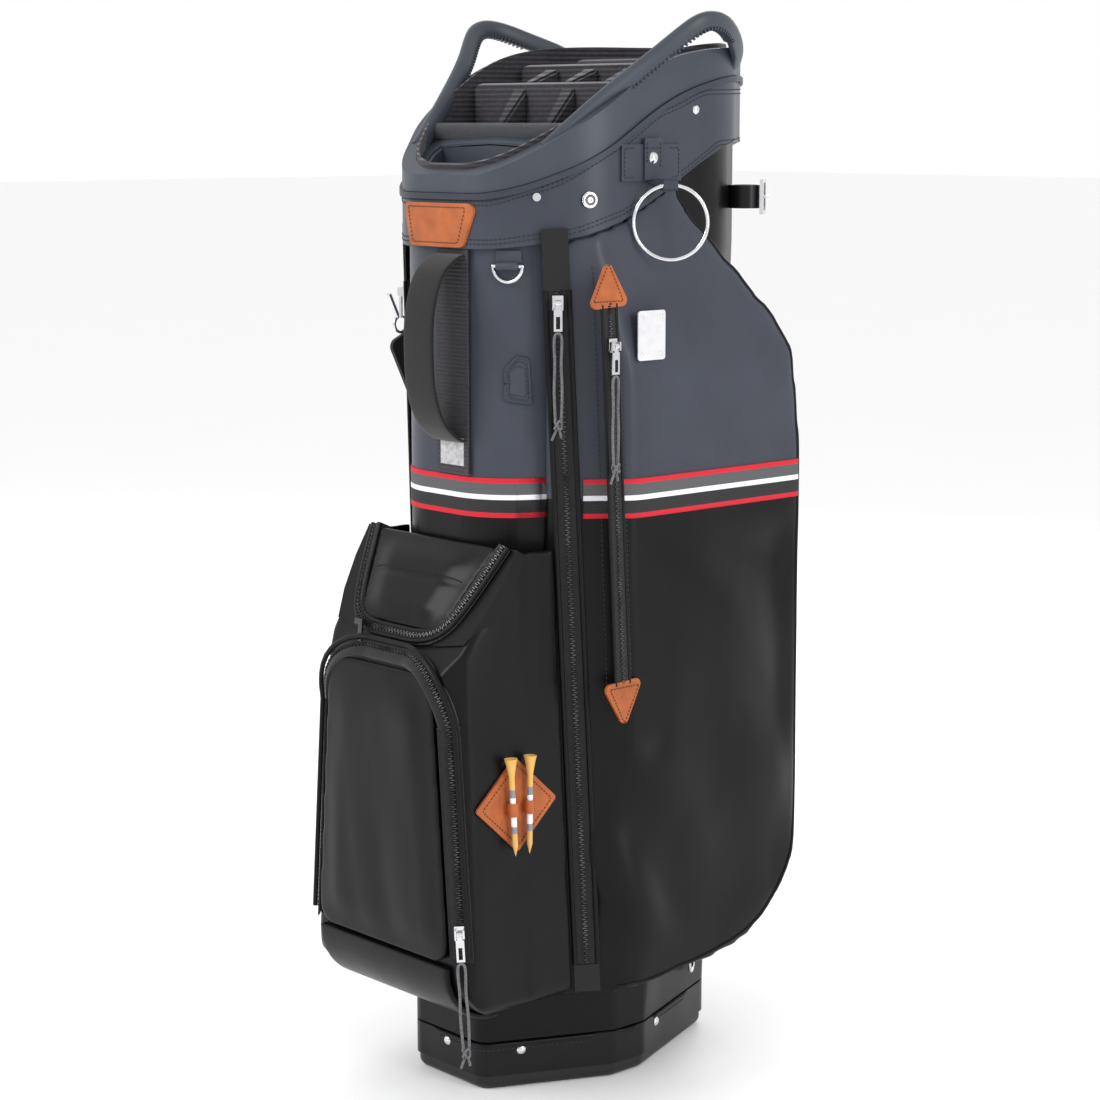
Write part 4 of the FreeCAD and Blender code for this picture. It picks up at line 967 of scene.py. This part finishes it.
def door_zip_line(offset):
    """A line round the door, outside its edge: up one corner, over the top and down again."""
    half = [Vector((door_half(level) + offset, DOOR_ZIP_Y, level)) for level in (0.146, 0.20, 0.26, 0.325)]
    reach = DOOR_CORNER + offset
    for turn in range(0, 91, 10):
        angle = math.radians(turn)
        y = DOOR_ZIP_Y + 0.001 * math.sin(angle) - 0.0070 * math.sin(2 * angle)
        half.append(Vector((CORNER_X + reach * math.cos(angle), y, CORNER_Z + reach * math.sin(angle))))
    return half + mirrored(half[::-1])


def door_zip_outs(line):
    outs = []
    for p in line:
        lean = min(1.0, max(0.0, (p.z - CORNER_Z) / 0.052))
        outs.append(Vector((math.copysign(0.73 * (1 - lean), p.x), -0.68, 0.75 * lean)).normalized())
    return outs


curved_zip("door_zip", "door_zip_tape", door_zip_line, door_zip_outs, DOOR_TAPE, 0.0102, (0.0038, 0.0178),
           0.0016, (0.0050, 0.0044))


# ---- lid pocket ----
# Above the front pocket a sloping lid closes a small pocket.  It is crowned, has a sewn
# crease across its middle, and zips round its lower edge and up both sides.

LID_TOP = Vector((0, -0.142, 0.482))
LID_DOWN = (Vector((0, -0.186, 0.411)) - LID_TOP).normalized()
LID_OUT = Vector((0, -0.85, 0.527)).normalized()
LID_LENGTH = 0.0835
LID_HALF = 0.078
LID_TAPER = 0.024
LID_CREASE = 0.040
LID_TAPE = [
    (-0.0062, -0.013), (0.0062, -0.013), (0.0062, 0.0), (0.0045, 0.0012), (-0.0045, 0.0012), (-0.0062, 0.0),
]
GUSSET = [
    (0.082, 0.0), (0.0985, 0.0), (0.098, 0.03), (0.093, 0.062), (0.084, 0.088), (0.05, 0.0945), (0.04, 0.088),
    (0.066, 0.066),
]


def lid_crown(co, normal):
    """The lid's crown, with the crease pressed into it."""
    if normal.y > -0.2:
        return 0.0
    down = (co - LID_TOP).dot(LID_DOWN)
    half = LID_HALF - down / LID_LENGTH * LID_TAPER
    inside = smooth_step(0.0, 0.035, half - abs(co.x)) * smooth_step(0.0, 0.02, LID_LENGTH - down)
    crease = math.exp(-((down - LID_CREASE) / 0.0028) ** 2)
    return inside * (0.0065 * smooth_step(0.0, 0.03, down) - 0.0016 * crease)


lid = cloth_copy("lid_flap", "lid_panel", 0.0026)
press(lid, lid_crown)
soften(lid)
upholster(lid, "lid", 0.6, "lid_flap")


def lid_place(x, down, rise=0.0):
    return LID_TOP + LID_DOWN * down + LID_OUT * rise + Vector((x, 0, 0))


def lid_zip_line(offset):
    """A line round the lid's sides and foot, outside its edge."""
    corner = offset * 0.6
    half = [(LID_HALF + offset, 0.0), (0.0612 + offset, 0.058), (0.052 + corner, 0.077 + corner),
            (0.034, LID_LENGTH + offset), (0.0, LID_LENGTH + offset)]
    half = [lid_place(x, down, -0.001) for x, down in half]
    return rounded(half + mirrored(half[-2::-1]))


def lid_zip_outs(line):
    return [Vector((p.x * 4, LID_OUT.y, LID_OUT.z)).normalized() for p in line]


curved_zip("lid_zip", "lid_zip_band", lid_zip_line, lid_zip_outs, LID_TAPE, 0.0068, (0.0022, 0.0114), 0.0018,
           (0.0046, 0.0042))
for sign, side_name in ((1, "right"), (-1, "left")):
    mesh = skin([[lid_place(x * sign, down, rise) for x, down in GUSSET] for rise in (-0.016, -0.004)])
    belongs(new_piece("lid_gusset_" + side_name, mesh, black_cloth), "bag")
crease = [lid_place(x, LID_CREASE, 0.02) for x in (-0.060, 0.0, 0.060)]
piping("lid_crease_seam", crease, lid, 0.0006, body="lid")


# ---- striped webbing ----
# One woven band runs round the bag where the grey cloth meets the black: red edges, a grey
# band, a white line and a black band.

RED = (0.58, 0.004, 0.02)
STRIPES = [
    (0.0, RED), (0.125, (0.012, 0.012, 0.013)), (0.45, (0.80, 0.78, 0.83)), (0.58, (0.085, 0.085, 0.09)),
    (0.875, RED),
]


def add_bands(material, low, high, bands):
    """Flat bands of colour between two levels."""
    share = add_node(material, "ShaderNodeMapRange", From_Min=low, From_Max=high)
    link(material, axis_of(material, "Z"), share.inputs["Value"])
    ramp = add_node(material, "ShaderNodeValToRGB")
    ramp.color_ramp.interpolation = "CONSTANT"
    for k, (start, colour) in enumerate(bands):
        stop = ramp.color_ramp.elements[k] if k < 2 else ramp.color_ramp.elements.new(start)
        stop.position = start
        stop.color = (*colour, 1)
    link(material, share.outputs["Result"], ramp.inputs["Fac"])
    link(material, ramp.outputs["Color"], shader_of(material).inputs["Base Color"])


striped = blank_material("striped_webbing", (0.1, 0.1, 0.1), 0.75)
add_bands(striped, STRIPE_LOW, STRIPE_HIGH, STRIPES)
raise_bumps(striped, add_weave(striped, "Z", 260), 0.0003, 0.7)
raise_bumps(striped, noise_height(striped, 1100, 2), 0.0003, 0.6)


def band_from(source, name):
    """The striped band, cut from the surface that it is sewn to."""
    mesh = bmesh.new()
    mesh.from_mesh(source.data)
    for level, below in ((STRIPE_LOW, True), (STRIPE_HIGH, False)):
        everything = mesh.verts[:] + mesh.edges[:] + mesh.faces[:]
        bmesh.ops.bisect_plane(mesh, geom=everything, plane_co=(0, 0, level), plane_no=(0, 0, 1),
                               clear_inner=below, clear_outer=not below)
    loose = [f for f in mesh.faces if abs(f.calc_center_median().x) < 0.108 or abs(f.normal.x) < 0.3]
    bmesh.ops.delete(mesh, geom=loose, context="FACES")
    return use_modifier(new_piece(name, mesh, striped), "SOLIDIFY", thickness=0.0012, offset=1)


mesh = welded("stripe_bands")
bmesh.ops.delete(mesh, geom=[v for v in mesh.verts if abs(v.co.x) > 0.11], context="VERTS")
front_band = new_piece("front_striped_band", mesh, striped)
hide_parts("stripe_bands")
right_band = band_from(right_pocket, "right_striped_band")
left_band = band_from(left_pocket, "left_striped_band")
for band in (front_band, right_band, left_band):
    belongs(band, "bag")


# ---- front webbing, lift handle and label ----
# A ribbed strip of webbing runs up the front; a wide black strap is sewn over it as a lift
# handle, and a plain woven label is stitched on below.

STRAP_X = 0.015
STRAP_PATH = [
    (-0.1395, 0.717), (-0.146, 0.716), (-0.163, 0.703), (-0.1725, 0.672), (-0.1735, 0.640), (-0.1715, 0.606),
    (-0.162, 0.580), (-0.147, 0.566), (-0.1395, 0.564),
]
LABEL_PLACE = (0.016, -0.1388)
LABEL_LEVELS = (0.543, 0.566)
ribbed_webbing = ribbed_knit("ribbed_webbing", (0.032, 0.029, 0.035), 95, "Z", 0.0008)
strap_webbing = ribbed_knit("strap_webbing", (0.0045, 0.0045, 0.005), 330, "Z", 0.0001)
label_cloth = ribbed_knit("woven_label", (0.42, 0.42, 0.43), 420, "Z", 0.0001)
dress(ribbed_webbing, "webbing_strip")

line = even(rounded([Vector((STRAP_X, y, z)) for y, z in STRAP_PATH]), 0.004)
outs = [heading(line, k).cross(Vector((1, 0, 0))).normalized() for k in range(len(line))]
lift_strap = sweep("lift_strap", line, outs, oval(0.037, 0.0032, 6, 20), strap_webbing)
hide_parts("lift_handle")
belongs(lift_strap, "bag")
spots = even([Vector((*LABEL_PLACE, level)) for level in LABEL_LEVELS], 0.003)
outs = [Vector((0, -1, 0))] * len(spots)
label = sweep("woven_label", spots, outs, oval(0.030, 0.0014, 8, 16), label_cloth)
belongs(label, "bag")


# ---- collar ----
# A band of grey coated cloth covers the top of the tube under a raised piping.  Two rows of
# stitches hold each of its edges.

COLLAR_OUTLINE = [(0, -0.160), (0.056, -0.156), (0.13, -0.062), (0.13, 0.086), (0.056, 0.180), (0, 0.184)]
COLLAR_FRONT = -0.142
COLLAR_SPAN = 0.308
COLLAR_EDGES = [  # shares of the rise, lowest and highest level, and the two rows below them
    ([(0, 0), (0.11, 0.12), (0.33, 0.49), (0.5, 0.8), (0.66, 0.98), (1, 1)], 0.768, 0.860, (0.006, 0.0095)),
    ([(0, 0), (0.16, 0.09), (0.33, 0.27), (0.52, 0.6), (0.72, 0.97), (1, 1)], 0.723, 0.805,
     (-0.004, -0.0075)),
]
dress(grey_cloth, "collar_band")
dress(grey_piping, "collar_piping")


def rise_at(shares, share):
    """How far a sloping edge has risen, from 0 in front to 1 behind."""
    for (a, rise_a), (b, rise_b) in zip(shares, shares[1:]):
        if share <= b:
            part = smooth_step(a, b, share) * 0.35 + (share - a) / (b - a) * 0.65
            return rise_a + (rise_b - rise_a) * part
    return 1.0


rows = []
for shares, low, high, drops in COLLAR_EDGES:
    for drop in drops:
        row = []
        for p in even(rounded([Vector((x, y, 0)) for x, y in COLLAR_OUTLINE]), 0.004):
            share = min(1, max(0, (p.y - COLLAR_FRONT) / COLLAR_SPAN))
            row.append(Vector((p.x, p.y, low + (high - low) * rise_at(shares, share) - drop)))
        rows += [row, mirrored(row)]
stitch_rows("collar_stitches", rows, nodes["collar_band"], black_thread, 0.0044)


# ---- leather ----
# Vegetable-tanned leather in saddle tan, cut, edge-dyed and stitched round with brown
# thread: the front patch, the small zip's end tabs and the tee holder.

TAN = (0.37, 0.092, 0.020)
TABS_BEGIN_AT_X = 0.13
TAB_X = 0.142
TABS = [
    [(-0.0744, 0.713), (-0.0579, 0.682), (-0.0909, 0.682)],
    [(-0.0547, 0.329), (-0.0382, 0.36), (-0.0712, 0.36)],
]
PATCH = [(-0.0405, 0.7565), (0.0425, 0.7565), (0.0325, 0.7275), (-0.0305, 0.7275)]
HOLDER = Vector((0.108, -0.144, 0.268))
HOLDER_REACH = [(0.0, 0.034), (0.036, 0.0), (0.0, -0.034), (-0.036, 0.0)]
LEATHER_STITCH = (0.0034, 0.0003, 0.0008)


def leather(name):
    material = blank_material(name, TAN, 0.5)
    shader_of(material).inputs["Specular IOR Level"].default_value = 0.35
    tint = shade(material, TAN, 0.78, 1.2, 60, 5)
    add_pebbles(material, 1 / 900, 0.00022, 0.6, "F1")
    raise_bumps(material, noise_height(material, 120, 4), 0.0005, 0.3)
    return material, tint


def loop_row(points):
    return points + points[:1]


tan = leather("tan_leather")[0]
tabs, tint = leather("zip_tab_leather")
mix_colours(tabs, beyond(tabs, TABS_BEGIN_AT_X, "X"), BLACK, tint)
dress(tabs, "zip_end_caps")
dress(tan, "leather_patch", "tee_holder")

tab_rows = [loop_row([Vector((TAB_X, y, z)) for y, z in tab]) for tab in TABS]
stitch_rows("tab_stitches", tab_rows, nodes["zip_end_caps"], brown_thread, 0.0032, 0.0003, 0.0008)
patch_row = loop_row([Vector((x, -0.16, z)) for x, z in PATCH])
stitch_rows("patch_stitches", [patch_row], nodes["leather_patch"], brown_thread, *LEATHER_STITCH)
diamond = loop_row([HOLDER + Vector((0, y, z)) for y, z in HOLDER_REACH])
stitch_rows("diamond_stitches", [diamond], nodes["tee_holder"], brown_thread, *LEATHER_STITCH)


# ---- stitched badge ----
# A small rounded triangle of grey cloth is sewn over a pad on the tube's front corner.

BADGE = [(0.006, 0.021), (0.015, 0.019), (0.0175, -0.018), (-0.014, -0.013), (-0.019, -0.006)]
BADGE_CENTRE = Vector((0.066, -0.118, 0.614))
BADGE_OUT = Vector((0.80, -0.60, 0))
BADGE_SIDE = Vector((0.60, 0.80, 0))
BADGE_LAYERS = [(1.0, -0.0006), (0.98, 0.0012), (0.66, 0.0014), (0.62, 0.0026), (0.3, 0.0034)]
BADGE_CORDS = [("badge_edge", 1.0, 0.0006, 0.0014), ("badge_inner_edge", 0.62, 0.0012, 0.0010)]

outline = [BADGE_CENTRE + BADGE_SIDE * across + Vector((0, 0, rise)) for across, rise in BADGE]
outline = even(loop_row(outline), 0.002)[:-1]
outline = even(loop_row(rounded(outline, 1)), 0.002)[:-1]
spots, outs = lay_on(nodes["body_right_panel"], outline, 0.0004)
middle = sum(spots, Vector()) / len(spots)


def badge_ring(share, rise):
    return [middle.lerp(spot, share) + BADGE_OUT * rise for spot in spots]


for name, share, rise, radius in BADGE_CORDS:
    profile = oval(2 * radius, 2 * radius, 2, 10)
    edge = sweep(name, badge_ring(share, rise), outs, profile, grey_piping, closed=True)
    belongs(edge, "bag")
badge = new_piece("stitched_badge", skin([badge_ring(*layer) for layer in BADGE_LAYERS]), grey_cloth)
belongs(badge, "bag")
row = loop_row(badge_ring(0.84, 0.004))
stitch_rows("badge_stitches", [row], badge, black_thread, 0.0034, 0.0002, 0.0008)


# ---- chrome and nickel hardware ----
# Rings, sliders, pulls, rivets and snaps are nickel-plated zinc and wire, polished bright;
# the name plate is satin aluminium, and the lid's slider and the snap's dish are dark nickel.

SOCKET_OUT = Vector((0.925, -0.38, 0)).normalized()
SOCKET_FACE = Vector((0.030, -0.0365, 0.763)) + SOCKET_OUT * 0.0866


def metal(name, colour, roughness):
    material = blank_material(name, colour, roughness, 1.0)
    shade(material, colour, 0.9, 1.0, 120)
    raise_bumps(material, noise_height(material, 500, 2), 0.00003, 0.3)
    return material


chrome = metal("polished_nickel", (0.72, 0.72, 0.74), 0.12)
satin_plate = metal("satin_aluminium", (0.88, 0.88, 0.90), 0.34)
dark_nickel = metal("dark_nickel", (0.10, 0.10, 0.105), 0.3)
dress(chrome, *[part["node"] for part in frame["record"]["subparts"] if part["material_slot"] == "chrome"])
dress(satin_plate, "metal_plate")
dress(black_plastic, "frame_stays")
dress(dark_nickel, "lid_zip_slider")

SOCKET_RINGS = [  # name, radius, half thickness, rise, metal
    ("socket_rim", 0.0052, 0.0010, 0.0001, chrome), ("socket_dish", 0.0030, 0.0016, -0.0009, dark_nickel),
    ("socket_spring", 0.0019, 0.0006, 0.0006, chrome),
]
turn = SOCKET_OUT.to_track_quat("Z", "Y").to_matrix().to_4x4()
for name, reach, thick, rise, material in SOCKET_RINGS:
    deselect()
    bpy.ops.mesh.primitive_torus_add(
        major_radius=reach, minor_radius=thick, major_segments=40, minor_segments=10)
    ring = settle(bpy.context.object, name)
    ring.data.transform(Matrix.Translation(SOCKET_FACE + SOCKET_OUT * rise) @ turn)
    ring.data.materials.append(material)
    belongs(ring, "bag")


# ---- towel strap and other straps ----
# The towel ring hangs from a stitched tab of the collar's grey cloth; a black buckled strap
# holds an umbrella behind it, and a flat shoulder strap lies along the left side.

TAB_CENTRE = Vector((0.13, -0.0058, 0.7925))
TAB_ROWS = [
    [(-0.031, -0.012), (0.031, -0.012), (0.031, 0.012), (-0.031, 0.012), (-0.031, -0.012)],
    [(-0.0075, 0.017), (-0.0075, -0.011)], [(0.0075, 0.017), (0.0075, -0.011)],
]
black_leather = coated_cloth("black_leathercloth", (0.006, 0.006, 0.0066), roughness=0.28, gloss=0.2)
dress(grey_cloth, "towel_strap")
dress(two_tone, "ring_tabs")
dress(black_leather, "umbrella_strap", "umbrella_sleeve")
dress(strap_webbing, "shoulder_strap")
rows = [[TAB_CENTRE + Vector((0, y, z)) for y, z in row] for row in TAB_ROWS]
stitch_rows("towel_tab_stitches", rows, nodes["towel_strap"], black_thread, 0.0036, 0.0003, 0.0008)


# ---- tees ----
# Two turned wooden tees, lacquered yellow, each with a white band between two grey ones.

TEE_LOW = 0.226
TEE_HIGH = 0.310
TEE_GREY = (0.22, 0.22, 0.24)
TEE_BANDS = [
    (0.0, (0.62, 0.36, 0.10)), (0.24, TEE_GREY), (0.31, (0.82, 0.82, 0.86)), (0.60, TEE_GREY),
    (0.68, (0.66, 0.38, 0.09)),
]
tee_wood = blank_material("painted_tee_wood", (0.6, 0.35, 0.08), 0.4)
add_bands(tee_wood, TEE_LOW, TEE_HIGH, TEE_BANDS)
raise_bumps(tee_wood, noise_height(tee_wood, 300, 4, object_position(tee_wood, (1, 1, 0.08))), 0.0002, 0.4)
dress(tee_wood, "tee_front", "tee_rear")


# ---- base ----
# A moulded foot, wrapped by a band of black leathercloth that is riveted on, piped along its
# top and stitched below the piping.

BASE_CORNERS = [(0.046, -0.136), (0.097, -0.0272), (0.097, 0.00816), (0.046, 0.136)]
PIPING_LEVEL = 0.041
STITCH_LEVEL = 0.0365
dress(black_plastic, "base_foot")
dress(black_leather, "base_band")
around = [Vector((x, y, PIPING_LEVEL)) for x, y in BASE_CORNERS]
around += mirrored(around[::-1])
ring = even(loop_row(rounded(loop_row(around), 2)), 0.004)[:-1]
spots, _ = lay_on(nodes["base_band"], ring, 0.0004)
outs = [Vector((p.x, p.y * 0.6, 0)).normalized() for p in spots]
base_piping = sweep("base_piping", spots, outs, oval(0.0032, 0.0032, 2, 8), piping_cloth, closed=True)
belongs(base_piping, "bag")
row = loop_row([Vector((p.x, p.y, STITCH_LEVEL)) for p in ring])
stitch_rows("base_stitches", [row], nodes["base_band"], black_thread, 0.0044)


# ---- floor and light ----
# A pale floor, a large soft key from the upper left, a fill from the right and a rim light.

LIGHTS = [  # name, place, size, power
    ("key", (-0.9, -2.6, 2.0), (1.0, 1.6), 44), ("fill", (2.6, 0.2, 1.3), (0.7, 1.8), 30),
    ("rim", (-1.2, 2.0, 1.8), (1.0, 1.6), 20),
]
bpy.ops.mesh.primitive_plane_add(size=60, location=(0, 0, 0))
floor = settle(bpy.context.object, "floor")
floor_paint = blank_material("pale_floor", (0.93, 0.93, 0.93), 0.7)
vary_colour(floor_paint, (0.93, 0.93, 0.93), (0.936, 0.936, 0.936), 3)
floor.data.materials.append(floor_paint)

world = bpy.data.worlds.new("studio")
bpy.context.scene.world = world
world.use_nodes = True
world.node_tree.nodes["Background"].inputs["Color"].default_value = (1, 1, 1, 1)
world.node_tree.nodes["Background"].inputs["Strength"].default_value = 1.0
for name, place, size, power in LIGHTS:
    deselect()
    bpy.ops.object.light_add(type="AREA", location=place)
    lamp = bpy.context.object
    lamp.name = name
    lamp.data.shape = "RECTANGLE"
    lamp.data.size, lamp.data.size_y = size
    lamp.data.energy = power
    lamp.rotation_euler = (Vector((0, 0, 0.5)) - Vector(place)).to_track_quat("-Z", "Y").to_euler()
bpy.context.scene.view_settings.view_transform = "Standard"
